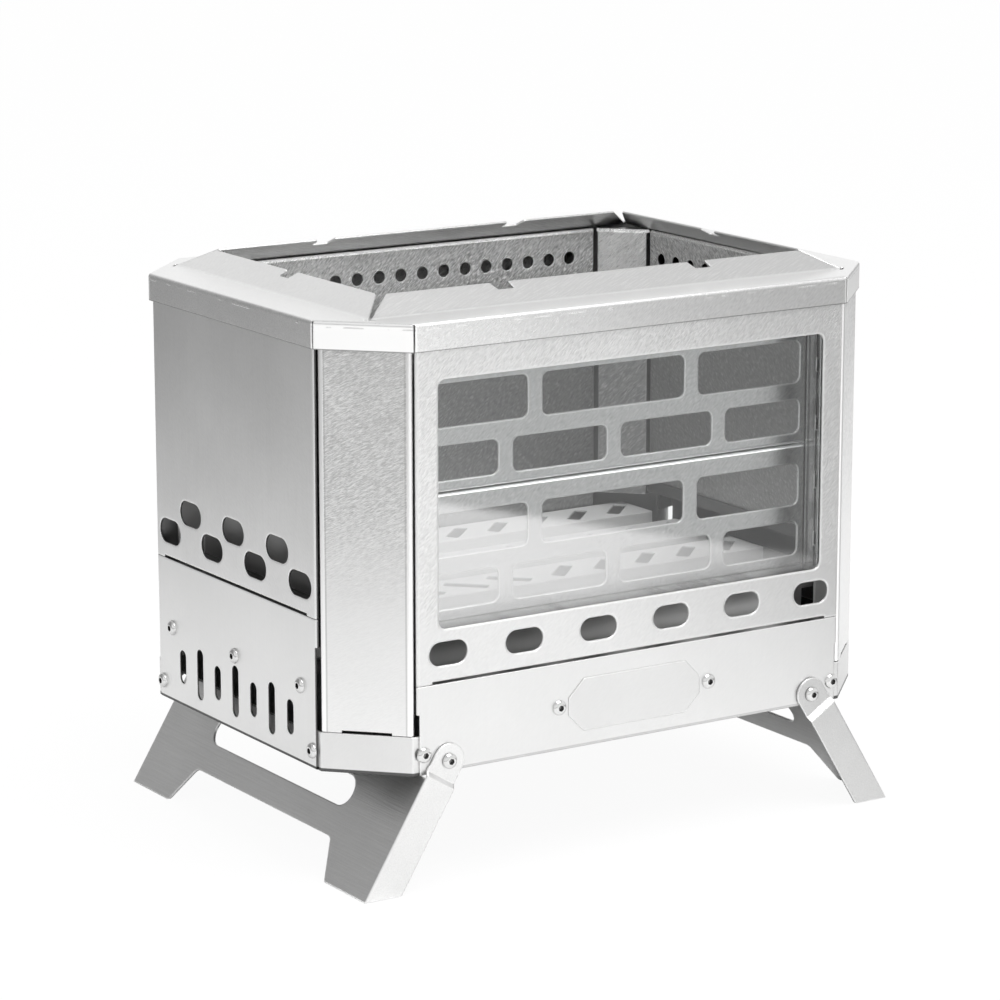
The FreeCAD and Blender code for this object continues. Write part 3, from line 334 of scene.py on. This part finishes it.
# Sheets with nothing on them but grain
looks = {
    # the ash floor is painted dark: painted shade under the grate
    "ash": {**plain, "dark": 0.08, "light": 0.2, "rough": 0.45},
    "grate": {**plain, "dark": 0.62, "light": 0.8, "rough": 0.6, "pitch": 0, "metal": 0.3, "edgeTone": 0.85},
    "ledge": {**plain, "dark": 0.34, "light": 0.5, "rough": 0.4},
    "leg": {**plain, "dark": 0.62, "light": 0.94, "rough": 0.33, "pitch": 0, "streak": 0.5, "flake": 0.3},
    # the right leg is painted darker than the left: painted shade
    "farLeg": {**plain, "dark": 0.47, "light": 0.74, "rough": 0.33, "pitch": 0, "streak": 0.5, "flake": 0.3},
    "plate": {**plain, "dark": 0.66, "light": 0.78, "rough": 0.34, "pitch": 0, "flake": 0.4},
}


def sheetSteel(name, look):
    material, place = newFinish(name)
    steelSurface(place, sheetGrain(place, look), look)
    return material


# Side walls, with painted shade on their end bends and other faces turned inward
sideSet = {**plain, "dark": 0.64, "light": 0.93, "rough": 0.34, "flake": 0.4, "cloud": 0.7, "edge": 0.002,
           "turnFrom": 0.4, "turnTo": 0.5, "turnShade": 0.9, "stainTone": 0.06}


def sideSteel(name, look):
    material, place = newFinish(name)
    steelSurface(place, sheetGrain(place, look), look, paintedShading=turnedAway(place, look) * look["turnShade"])
    return material


# Front and rear walls, flaked round the window and smoother below it, with painted shade towards the right
wallSet = {**plain, "dark": 0.62, "light": 0.9, "rough": 0.34, "relief": 1.0, "edge": 0.0024, "flake": 2.4,
           "flakeSize": (0.003, 0.00045, 0.00045), "calmFrom": 0.15, "calmTo": 0.18, "calm": 0.25,
           "shadeFrom": -0.05, "shadeTo": 0.19, "lowShade": 0.44, "highLift": 0.12, "highShade": 0.46}


def wallSteel(name, look):
    material, place = newFinish(name)
    high = place.axis("Z").ease(look["calmFrom"], look["calmTo"])
    far = place.axis("X").ease(look["shadeFrom"], look["shadeTo"])
    grain = sheetGrain(place, look) * (look["calm"] + high * (1 - look["calm"]))
    # painted shade growing towards the right, low and high, and painted light on the upper left
    shade = far * (1 - high) * look["lowShade"] + (far * look["highShade"] - look["highLift"]) * high
    steelSurface(place, grain - shade, look)
    return material


# Corner columns, flaked; painted light low, painted shade high and inside; plain painted-bright bends on both
# edges
columnSet = {**plain, "dark": 0.5, "light": 1.0, "rough": 0.34, "lean": 25, "flake": 2.0,
             "flakeSize": (0.003, 0.0004, 0.0004), "middle": 0.0396, "bendFrom": 0.0246, "bendTo": 0.0252,
             "bendLight": 0.6, "lineFrom": 0.0238, "lineTo": 0.0244, "lineSoft": 0.0003, "lineShade": 0.35,
             "highFrom": 0.16, "highTo": 0.25, "highShade": {-45: 0.48, 45: 0.0}, "lowLift": 0.2,
             "lowFlake": 0.12, "turnFrom": -0.3, "turnTo": 0.0, "insideShade": 0.85, "stainTone": 0.3}


def columnSteel(name, look):
    material, place = newFinish(name)
    turn = math.radians(look["yaw"])
    across = (place.dot((math.cos(turn), math.sin(turn), 0)).size() - look["middle"]).size()
    # the bends are painted bright: painted highlights
    bend = across.ease(look["bendFrom"], look["bendTo"])
    line = across.band(look["lineFrom"], look["lineTo"], look["lineSoft"]) * look["lineShade"]
    high = place.axis("Z").ease(look["highFrom"], look["highTo"])
    grain = sheetGrain(place, look) * (look["lowFlake"] + high * (1 - look["lowFlake"]))
    # painted light low down on every column; painted shade high up on the front-left and rear-right ones
    grain = grain + look["lowLift"] - high * look["highShade"][look["yaw"]]
    grain = grain * (1 - bend) + bend * look["bendLight"]
    # painted shade on faces turned inward, and a darker line beside each bend
    inside = turnedAway(place, look) * look["insideShade"]
    steelSurface(place, grain, look, paintedShading=inside.larger(line))
    return material


# Base panels, corners and brackets, smooth, with a painted shadow line under the bottom bend,
# and side panels given painted light, with painted shade on their faces turned inward
baseSet = {**plain, "dark": 0.66, "light": 0.84, "rough": 0.34, "streak": 0.1, "band": 0.05, "flake": 0.25,
           "footFrom": 0.0717, "footTo": 0.0723, "footShade": {0: 0.25, 90: 0.95, 45: 0.9, -45: 0.9},
           "turnFrom": 0.3, "turnTo": 0.6, "cutShade": 0.8, "sideLift": 0.2, "stainTone": 0.04}


def baseSteel(name, look):
    material, place = newFinish(name)
    grain = sheetGrain(place, look)
    # painted shadow along the bottom bend, lighter on the front and rear panels
    paintedShading = (1 - place.axis("Z").ease(look["footFrom"], look["footTo"])) * look["footShade"][look["yaw"]]
    if look["yaw"] == 90:
        # side panels: painted light, and painted shade on faces turned inward
        grain = grain + look["sideLift"]
        paintedShading = paintedShading.larger(turnedAway(place, look) * look["cutShade"])
    steelSurface(place, grain, look, paintedShading=paintedShading)
    return material


# Brick grilles, with bright bends where the two meet, bowed and given painted highlights, and painted shade
# at the right ends
grilleSet = {**plain, "dark": 0.22, "light": 0.76, "rough": 0.3, "pitch": 0, "streak": 0.05, "band": 0.04,
             "cloud": 0.15, "flake": 1.0, "relief": 1.0, "edge": 0.0018, "seam": 0.2329, "foldFrom": 0.0005,
             "foldTo": 0.0019, "foldSoft": 0.0003, "foldBow": (-0.3, 0, 0.85), "stainTone": 1.0,
             "endFrom": 0.120, "endTo": 0.133, "endShade": 0.35}


def grilleSteel(name, look):
    material, place = newFinish(name)
    below = look["seam"] - place.axis("Z")
    fold = below.size().band(look["foldFrom"], look["foldTo"], look["foldSoft"])
    # painted shade at the right ends
    end = place.axis("X").ease(look["endFrom"], look["endTo"]) * look["endShade"]
    bowed = bowedNormal(place, look, fold * below.sign(), look["foldBow"])
    steelSurface(place, sheetGrain(place, look) - end, look, bowed, fold * (1 - end))
    return material


# Window sill: below its top rougher, with painted shade lessening and painted light growing to the right;
# darker blotches on its top; window channels with painted shade and highlight lines along their folds
channelSet = {**plain, "yaw": 0, "dark": 0.2, "light": 0.88, "rough": 0.25, "streak": 0.1, "band": 0.05,
              "cloud": 0.15, "flake": 0.15, "dullFrom": 0.1525, "dullTo": 0.1545, "dullShade": 0.7,
              "dullRight": 0.65, "dullRough": 0.12, "rightLift": 0.9, "rightFrom": -0.12, "rightTo": 0.15,
              "stainTone": 0.3, "topFrom": 0.1553, "topTo": 0.1565, "smear": (0.03, 0.2, 0.2),
              "smearFrom": 0.48, "smearTo": 0.6, "smearShade": 0.4, "lineSoft": 0.0003,
              # place across the channel, half width and change of tone
              "lines": {"lipShade": (-0.1174, 0.0004, -0.5), "lipLight": (-0.1188, 0.0006, 0.3),
                        "foldShade": (-0.1205, 0.0008, -0.35), "foldLight": (-0.1235, 0.0014, 0.2),
                        "ribShade": (-0.1285, 0.0007, -0.5), "ribLight": (-0.1300, 0.0006, 0.25),
                        "frontShade": (-0.1338, 0.0020, -0.5)}}


def channelSteel(name, look):
    material, place = newFinish(name)
    height = place.axis("Z")
    shadedBelow = 1 - height.ease(look["dullFrom"], look["dullTo"])
    right = place.axis("X").ease(look["rightFrom"], look["rightTo"])
    upright = height.ease(look["topFrom"], look["topTo"])
    smear = place.noise(look["smear"]).ease(look["smearFrom"], look["smearTo"]) * look["smearShade"]
    # painted light towards the right below the sill top, and darker blotches on its top
    grain = sheetGrain(place, look) - smear * (1 - upright) * (1 - shadedBelow) + shadedBelow * right * look["rightLift"]
    for spot, half, change in look["lines"].values():
        beside = (place.axis("Y") - spot).size().ease(half, half + look["lineSoft"])
        grain = grain + (1 - beside) * upright * change
    rough = look["rough"] + shadedBelow * look["dullRough"]
    # painted shade below the sill top, lessening towards the right
    paintedShading = shadedBelow * (look["dullShade"] - right * look["dullRight"])
    steelSurface(place, grain, {**look, "rough": rough}, paintedShading=paintedShading)
    return material


# Screws and nuts, with painted shade in the hexagon sockets
fastenerSet = {**plain, "yaw": 0, "dark": 0.56, "light": 0.86, "rough": 0.14, "flake": 0.2, "edge": 0.0002,
               "recessFrom": 0.75, "recessTo": 1.0, "recessShade": 0.85, "stainTone": 0.04}


def fastenerSteel(name, look):
    material, place = newFinish(name)
    recess = place.node("ShaderNodeAttribute", {"attribute_name": "recess"}, {}, "Fac")
    recess = recess.ease(look["recessFrom"], look["recessTo"])
    steelSurface(place, sheetGrain(place, look), look, paintedShading=recess * look["recessShade"])
    return material


# Inner sheets, scratched, with painted light at the top and painted shade low down, and a polished hem
# The hem gets a painted highlight, and faces towards the outer walls get painted shade
innerSet = {**plain, "dark": 0.2, "light": 1.0, "rough": 0.42, "flake": 1.6, "cloud": 0.3, "lean": 45,
            "edgeLight": 0.7, "halfX": 0.1705, "halfY": 0.1145, "cut": 0.2593, "backFrom": 0.0003,
            "backTo": 0.0007, "backShade": 0.1, "topFrom": 0.285, "topTo": 0.325, "topLift": 0.05,
            "lowShade": {0: 0.29, 90: 0.1}, "lowCalm": 0.75, "columnFrom": 0.262, "columnTo": 0.31,
            "columnLift": 0.42, "columnShade": 0.26, "scratch": (0.0035, 0.0005, 0.0005), "scratchFrom": 0.52,
            "scratchTo": 0.64, "scratchLight": 1.1, "hemFrom": 0.3366, "hemTo": 0.3371, "hemDeep": 0.0036,
            "hemSoft": 0.0004, "hemPolish": 0.3, "hemTurn": 8.0, "hemRise": (0, 0, 2.2), "hemLift": 1.0}


def innerSteel(name, look):
    material, place = newFinish(name)
    yaw = look["yaw"]
    acrossX = place.axis("X").size()
    acrossY = place.axis("Y").size()
    height = place.axis("Z")
    outward = (acrossX - look["halfX"]).larger(acrossY - look["halfY"])
    outward = outward.larger((acrossX + acrossY - look["cut"]) * math.sqrt(0.5))
    hem = height.ease(look["hemFrom"], look["hemTo"])
    hem = hem * (1 - outward.ease(look["hemDeep"], look["hemDeep"] + look["hemSoft"]))
    back = outward.ease(look["backFrom"], look["backTo"]) * (1 - hem)
    top = height.ease(look["topFrom"], look["topTo"])
    # painted light high up and painted shade below, on columns and walls; the walls' hem is painted bright
    if yaw in (-45, 45):  # columns
        raised = height.ease(look["columnFrom"], look["columnTo"])
        paintedLift = raised * (look["columnLift"] + look["columnShade"]) - look["columnShade"]
    else:
        paintedLift = top * (look["topLift"] + look["lowShade"][yaw]) - look["lowShade"][yaw] + hem * look["hemLift"]
    scratch = place.noise(look["scratch"], (0, -look["lean"], yaw))
    scratch = scratch.ease(look["scratchFrom"], look["scratchTo"]) * look["scratchLight"]
    grain = (sheetGrain(place, look) + scratch) * (1 - (1 - top) * look["lowCalm"])
    # painted shade on the faces towards the outer walls
    grain = (grain + paintedLift) * (1 - back) - back * look["backShade"]
    axis = wallAxis(yaw)
    inward = place.vector("MULTIPLY_ADD", place.dot(axis).sign() * -look["hemTurn"], axis, look["hemRise"])
    rough = look["rough"] - hem * look["hemPolish"]
    steelSurface(place, grain, {**look, "rough": rough}, bowedNormal(place, look, hem, inward))
    return material


# Top rim: strokes across its front and rear flanges, leaning strokes and broken tool marks on its skirt
# Painted light and shade on its flanges, shelves, skirt and corner flaps, and a painted shadow under the
# skirt
rimSet = {**plain, "dark": 0.66, "light": 0.94, "rough": 0.3, "flake": 1.7, "edgeLight": 0.4, "relief": 0.5,
          "stroke": 1.5, "strokeSize": (0.012, 0.0007, 0.05), "strokeTurn": 22, "topFrom": 0.3400,
          "topTo": 0.3408, "topCalm": 0.6, "flangeFrom": 0.3414, "flangeTo": 0.3422, "flangeShade": 0.45,
          "rearSoft": 0.01, "rearLift": 0.35, "shelfLift": 0.22, "frontLead": 0.056, "frontSoft": 0.001,
          "skirtLift": 0.42, "skirtFrom": -0.16, "skirtTo": 0.12, "skirtShade": 0.22, "brightFrom": 0.332,
          "brightTo": 0.338, "hemFrom": 0.3242, "hemTo": 0.3248, "hemShade": 0.7, "stainTone": 0.12,
          "flapFrom": 0.2988, "flapTo": 0.2998, "flapBow": (0, 0, -0.24), "flapLift": 0.4, "flapCalm": 1.0,
          "markLow": 0.3371, "markHigh": 0.3376, "markSoft": 0.0002, "markLight": 0.8, "markDark": -1.4,
          "dash": (0.012, 0.012, 0.05), "dashDetail": 3.0, "dashFrom": 0.5, "dashTo": 0.6}


def rimSteel(name, look):
    material, place = newFinish(name)
    height = place.axis("Z")
    acrossX = place.axis("X").size()
    acrossY = place.axis("Y").size()
    top = height.ease(look["topFrom"], look["topTo"])
    front = (acrossY - acrossX + look["frontLead"]).ease(-look["frontSoft"], look["frontSoft"])
    flap = (acrossX + acrossY).ease(look["flapFrom"], look["flapTo"]) * (1 - top)
    grain = sheetGrain(place, look) * (1 - top * look["topCalm"]) * (1 - flap * look["flapCalm"])
    strokes = place.swing(look["strokeSize"], (0, 0, look["strokeTurn"])) * look["stroke"]
    flange = height.ease(look["flangeFrom"], look["flangeTo"])
    # painted shade on the front flange, eased on the rear flange by painted light
    rear = place.axis("Y").ease(-look["rearSoft"], look["rearSoft"]) * look["rearLift"]
    grain = grain + (strokes + rear - look["flangeShade"]) * flange * front
    # painted light on the shelves
    grain = grain + (top - flange) * look["shelfLift"]
    # painted light on the left of the front and rear skirts and on the corner flaps, painted shade on the
    # skirts' right
    right = place.axis("X").ease(look["skirtFrom"], look["skirtTo"])
    skirt = look["skirtLift"] - right * (look["skirtLift"] + look["skirtShade"])
    grain = grain + front * (1 - top) * (1 - flap) * skirt + flap * look["flapLift"]
    mark = height.band(look["markLow"], look["markHigh"], look["markSoft"])
    mark = mark * place.noise(look["dash"], detail=look["dashDetail"]).ease(look["dashFrom"], look["dashTo"])
    grain = grain + mark * (look["markLight"] * (1 - flap) + look["markDark"] * flap)
    # painted shadow line along the skirt's bottom edge; painted highlights kept to the top bends
    hem = (1 - height.ease(look["hemFrom"], look["hemTo"])) * look["hemShade"]
    bright = height.ease(look["brightFrom"], look["brightTo"]) * look["edgeLight"]
    bowed = bowedNormal(place, look, flap, look["flapBow"])
    steelSurface(place, grain, {**look, "edgeLight": bright}, bowed, hem)
    return material


# Window glass, clear, with a painted bright reflection across its lower left corner
glassSet = {"colour": (0.91, 0.92, 0.92, 1), "rough": 0.0, "ior": 1.52, "sheenColour": (0.97, 0.97, 0.97, 1),
            "sheenRough": 0.25, "sheenHeight": 0.1985, "sheenSlope": -0.247, "sheenSoft": 0.004,
            "sheenFoot": 0.15, "sheenFull": 0.172, "sheenFrom": -0.05, "sheenTo": 0.14, "sheenLeft": 0.27,
            "sheenRight": 0.13, "frontFrom": -0.5, "frontTo": -0.9}


def paneGlass(name, look):
    material, place = newFinish(name)
    across = place.axis("X")
    height = place.axis("Z")
    # the reflection is painted: a mirror layer mixed in by place, the glass left untinted beneath it
    below = look["sheenHeight"] + across * look["sheenSlope"] - height
    shine = below.ease(-look["sheenSoft"], look["sheenSoft"])
    shine = shine * height.ease(look["sheenFoot"], look["sheenFull"])
    right = across.ease(look["sheenFrom"], look["sheenTo"])
    strength = look["sheenLeft"] + right * (look["sheenRight"] - look["sheenLeft"])
    front = trueNormal(place).axis("Y").ease(look["frontFrom"], look["frontTo"])
    shadow = place.node("ShaderNodeLightPath", {}, {}, "Is Shadow Ray")
    pane = place.node("ShaderNodeBsdfPrincipled", {}, {"Base Color": shine.mix(look["colour"], white),
                                                       "Roughness": look["rough"], "IOR": look["ior"],
                                                       "Transmission Weight": 1.0})
    clear = place.node("ShaderNodeBsdfTransparent", {}, {"Color": look["colour"]})
    glass = place.node("ShaderNodeMixShader", {}, {0: shadow, 1: pane, 2: clear})
    sheen = place.node("ShaderNodeBsdfPrincipled", {}, {"Base Color": look["sheenColour"], "Metallic": 1.0,
                                                        "Roughness": look["sheenRough"]})
    paintedReflection = shine * strength * front * (1 - shadow)
    surface = place.node("ShaderNodeMixShader", {}, {0: paintedReflection, 1: glass, 2: sheen})
    place.node("ShaderNodeOutputMaterial", {}, {"Surface": surface})
    return material


# Maker and look of each kind of finish; words in a node's name give the turn of its wall, in degrees
makers = {"side": (sideSteel, sideSet), "wall": (wallSteel, wallSet), "column": (columnSteel, columnSet),
          "base": (baseSteel, baseSet), "grille": (grilleSteel, grilleSet), "inner": (innerSteel, innerSet),
          "channel": (channelSteel, channelSet), "fastener": (fastenerSteel, fastenerSet),
          "rim": (rimSteel, rimSet), "clear": (paneGlass, glassSet),
          **{kind: (sheetSteel, look) for kind, look in looks.items()}}
yaws = {"front_left": -45, "rear_right": -45, "front_right": 45, "rear_left": 45, "leg": 90, "left": 90,
        "right": 90}


def kindOf(entry):
    name = entry["node"]
    if name.endswith("_column"):
        return "inner" if "inner" in name else "column"
    if name in ("left_panel", "right_panel"):
        return "side"
    if name.startswith("window") or "_window_" in name:
        return "channel"
    if name.endswith("_ledge"):
        return "ledge"
    if name == "right_leg_frame":
        return "farLeg"
    return "ash" if name == "ash_floor" else entry["material_slot"].split("_")[0]


def yawOf(name):
    return next((yaw for side, yaw in yaws.items() if side in name), 0)


def finish(kind, yaw):
    maker, look = makers[kind]
    return maker(f"{kind}Finish{yaw}", {"yaw": yaw, **look})


def dress(record):
    made = {}
    for entry in record["subparts"]:
        key = (kindOf(entry), yawOf(entry["node"]))
        if key not in made:
            made[key] = finish(*key)
        data = frame["nodes"][entry["node"]].data
        data.materials.clear()
        data.materials.append(made[key])
    return made


finishes = dress(frame["record"])
print("finishes set:", len(finishes))


# Button-head screws with hexagon sockets, on the base panels and the leg pivots
screwSet = {"Head Radius": 0.00475, "Head Height": 0.0026, "Socket Radius": 0.00175, "Socket Depth": 0.0015,
            "Shank Radius": 0.0025, "Shank Length": 0.007}
# the crown's steps are shares of the head's radius and height
screwShape = {"segments": 36, "crown": ((1, 0.28), (0.95, 0.5), (0.84, 0.72), (0.66, 0.9), (0.5, 1)),
              "socketSides": 6, "socketReach": 1.12, "crease": 0.7, "merge": 1e-6, "seed": 4}
screwSpots = {"frontFace": 0.1425, "sideFace": 0.1985, "bracketX": 0.0553, "bracketZ": 0.097,
              "cornerX": 0.151, "cornerZ": 0.0827, "sideBracketY": 0.0804, "sideBracketZ": 0.118,
              "sideCornerY": 0.0937, "sideCornerZ": 0.081, "pivotX": 0.1345, "pivotZ": 0.077,
              "pivotSeat": 0.0021, "pivotShank": 0.0095}


def screwTree(shape):
    tree = bpy.data.node_groups.new("buttonScrew", "GeometryNodeTree")
    tree.interface.new_socket("Geometry", in_out="INPUT", socket_type="NodeSocketGeometry")
    for name in screwSet:
        tree.interface.new_socket(name, in_out="INPUT", socket_type="NodeSocketFloat")
    tree.interface.new_socket("Material", in_out="INPUT", socket_type="NodeSocketMaterial")
    tree.interface.new_socket("Geometry", in_out="OUTPUT", socket_type="NodeSocketGeometry")
    start = Wire(tree)
    given = start.node("NodeGroupInput", {}, {}).socket.node
    put = {socket.name: Wire(tree, socket) for socket in given.outputs if socket.name}
    headRadius = put["Head Radius"]
    headHeight = put["Head Height"]
    shankRadius = put["Shank Radius"]
    foot = put["Shank Length"] * -1
    socketRadius = put["Socket Radius"]
    socketFloor = headHeight - put["Socket Depth"]
    # radius, height over the seat and share of hexagon, from the shank's end to the socket's floor
    knots = [(0.0, foot, 0), (shankRadius, foot, 0), (shankRadius, 0.0, 0), (headRadius, 0.0, 0)]
    knots += [(headRadius * wide, headHeight * tall, 0) for wide, tall in shape["crown"]]
    knots += [(socketRadius, headHeight, 1), (socketRadius, socketFloor, 1), (0.0, socketFloor, 1)]
    points = [start.node("ShaderNodeCombineXYZ", {}, dict(enumerate(knot))) for knot in knots]
    # a grid with a row for each knot, turned round the axis
    columns = shape["segments"] + 1
    grid = start.node("GeometryNodeMeshGrid", {}, {"Vertices X": len(knots), "Vertices Y": columns})
    index = start.node("GeometryNodeInputIndex", {}, {})
    row = index.math("FLOOR", (index + 0.5) / columns)
    angle = (index - row * columns) * (math.tau / shape["segments"])
    knot = start.node("GeometryNodeIndexSwitch", {"data_type": "VECTOR", "items": len(knots)},
                      {"Index": row, **{str(i): point for i, point in enumerate(points)}})
    flat = math.tau / shape["socketSides"]
    hexagon = math.cos(flat / 2) / angle.math("COSINE", angle.math("MODULO", angle, flat) - flat / 2)
    reach = knot.axis("X") * (1 + (hexagon * shape["socketReach"] - 1) * knot.axis("Z"))
    spot = start.node("ShaderNodeCombineXYZ", {}, {0: reach * angle.math("COSINE", angle),
                                                   1: reach * angle.math("SINE", angle), 2: knot.axis("Y")})
    turned = start.node("GeometryNodeSetPosition", {}, {"Geometry": grid, "Position": spot})
    marked = start.node("GeometryNodeStoreNamedAttribute", {"data_type": "FLOAT", "domain": "POINT"},
                        {"Geometry": turned, "Name": "recess", "Value": knot.axis("Z")})
    screw = start.node("GeometryNodeMergeByDistance", {}, {"Geometry": marked, "Distance": shape["merge"]})
    screw = start.node("GeometryNodeSetShadeSmooth", {}, {"Geometry": screw, "Shade Smooth": True})
    bend = start.node("GeometryNodeInputMeshEdgeAngle", {}, {}, "Unsigned Angle")
    screw = start.node("GeometryNodeSetShadeSmooth", {"domain": "EDGE"},
                       {"Geometry": screw, "Selection": bend.math("GREATER_THAN", bend, shape["crease"]),
                        "Shade Smooth": False})
    # a copy at each spot, upright on it and spun by chance; 2, 3 and output 1 are the number sockets
    outward = start.node("GeometryNodeInputNamedAttribute", {"data_type": "FLOAT_VECTOR"},
                         {"Name": "outward"})
    upright = start.node("FunctionNodeAlignRotationToVector", {"axis": "Z"}, {"Vector": outward})
    spin = start.node("FunctionNodeRandomValue", {"data_type": "FLOAT"},
                      {2: 0.0, 3: flat, "Seed": shape["seed"]}, 1)
    about = start.node("ShaderNodeCombineXYZ", {}, {2: spin})
    spun = start.node("FunctionNodeRotateRotation", {"rotation_space": "LOCAL"},
                      {"Rotation": upright, "Rotate By": about})
    copies = start.node("GeometryNodeInstanceOnPoints", {}, {"Points": put["Geometry"], "Instance": screw,
                                                             "Rotation": spun})
    solid = start.node("GeometryNodeRealizeInstances", {}, {"Geometry": copies})
    finished = start.node("GeometryNodeSetMaterial", {}, {"Geometry": solid, "Material": put["Material"]})
    start.node("NodeGroupOutput", {}, {0: finished})
    return tree


def screwRow(name, tree, spots, sizes, material):
    seeds = bpy.data.meshes.new(name)
    seeds.from_pydata([place for place, outward in spots], [], [])
    directions = seeds.attributes.new("outward", "FLOAT_VECTOR", "POINT")
    for slot, (place, outward) in zip(directions.data, spots):
        slot.vector = outward
    holder = bpy.data.objects.new(name, seeds)
    scene.collection.objects.link(holder)
    modifier = holder.modifiers.new("screws", "NODES")
    modifier.node_group = tree
    for socket in tree.interface.items_tree:
        if socket.name in sizes:
            modifier[socket.identifier] = sizes[socket.name]
        if socket.name == "Material":
            modifier[socket.identifier] = material
    solid = bpy.data.meshes.new_from_object(holder.evaluated_get(bpy.context.evaluated_depsgraph_get()))
    bpy.data.objects.remove(holder)
    row = bpy.data.objects.new(name, solid)
    scene.collection.objects.link(row)
    return row


def placeScrews(at):
    tree = screwTree(screwShape)
    panelSpots = []
    pivotSpots = []
    for side in (-1, 1):
        front = side * at["frontFace"]
        flank = side * at["sideFace"]
        pivot = side * (at["frontFace"] + at["pivotSeat"])
        for end in (-1, 1):
            panelSpots += [((end * at["bracketX"], front, at["bracketZ"]), (0, side, 0)),
                           ((end * at["cornerX"], front, at["cornerZ"]), (0, side, 0)),
                           ((flank, end * at["sideBracketY"], at["sideBracketZ"]), (side, 0, 0)),
                           ((flank, end * at["sideCornerY"], at["sideCornerZ"]), (side, 0, 0))]
            pivotSpots.append(((end * at["pivotX"], pivot, at["pivotZ"]), (0, side, 0)))
        panelSpots.append(((flank, 0, at["sideBracketZ"]), (side, 0, 0)))
    steel = finishes[("fastener", 0)]
    pivotSizes = {**screwSet, "Shank Length": at["pivotShank"]}
    panelScrews = screwRow("panelScrews", tree, panelSpots, screwSet, steel)
    pivotScrews = screwRow("pivotScrews", tree, pivotSpots, pivotSizes, steel)
    for screws, nodes in ((panelScrews, ("corner_screws", "bracket_screws")),
                          (pivotScrews, ("left_pivot_screws", "right_pivot_screws"))):
        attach(screws, "pit")
        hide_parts(*nodes)
    print("screws made:", len(panelSpots) + len(pivotSpots))


placeScrews(screwSpots)
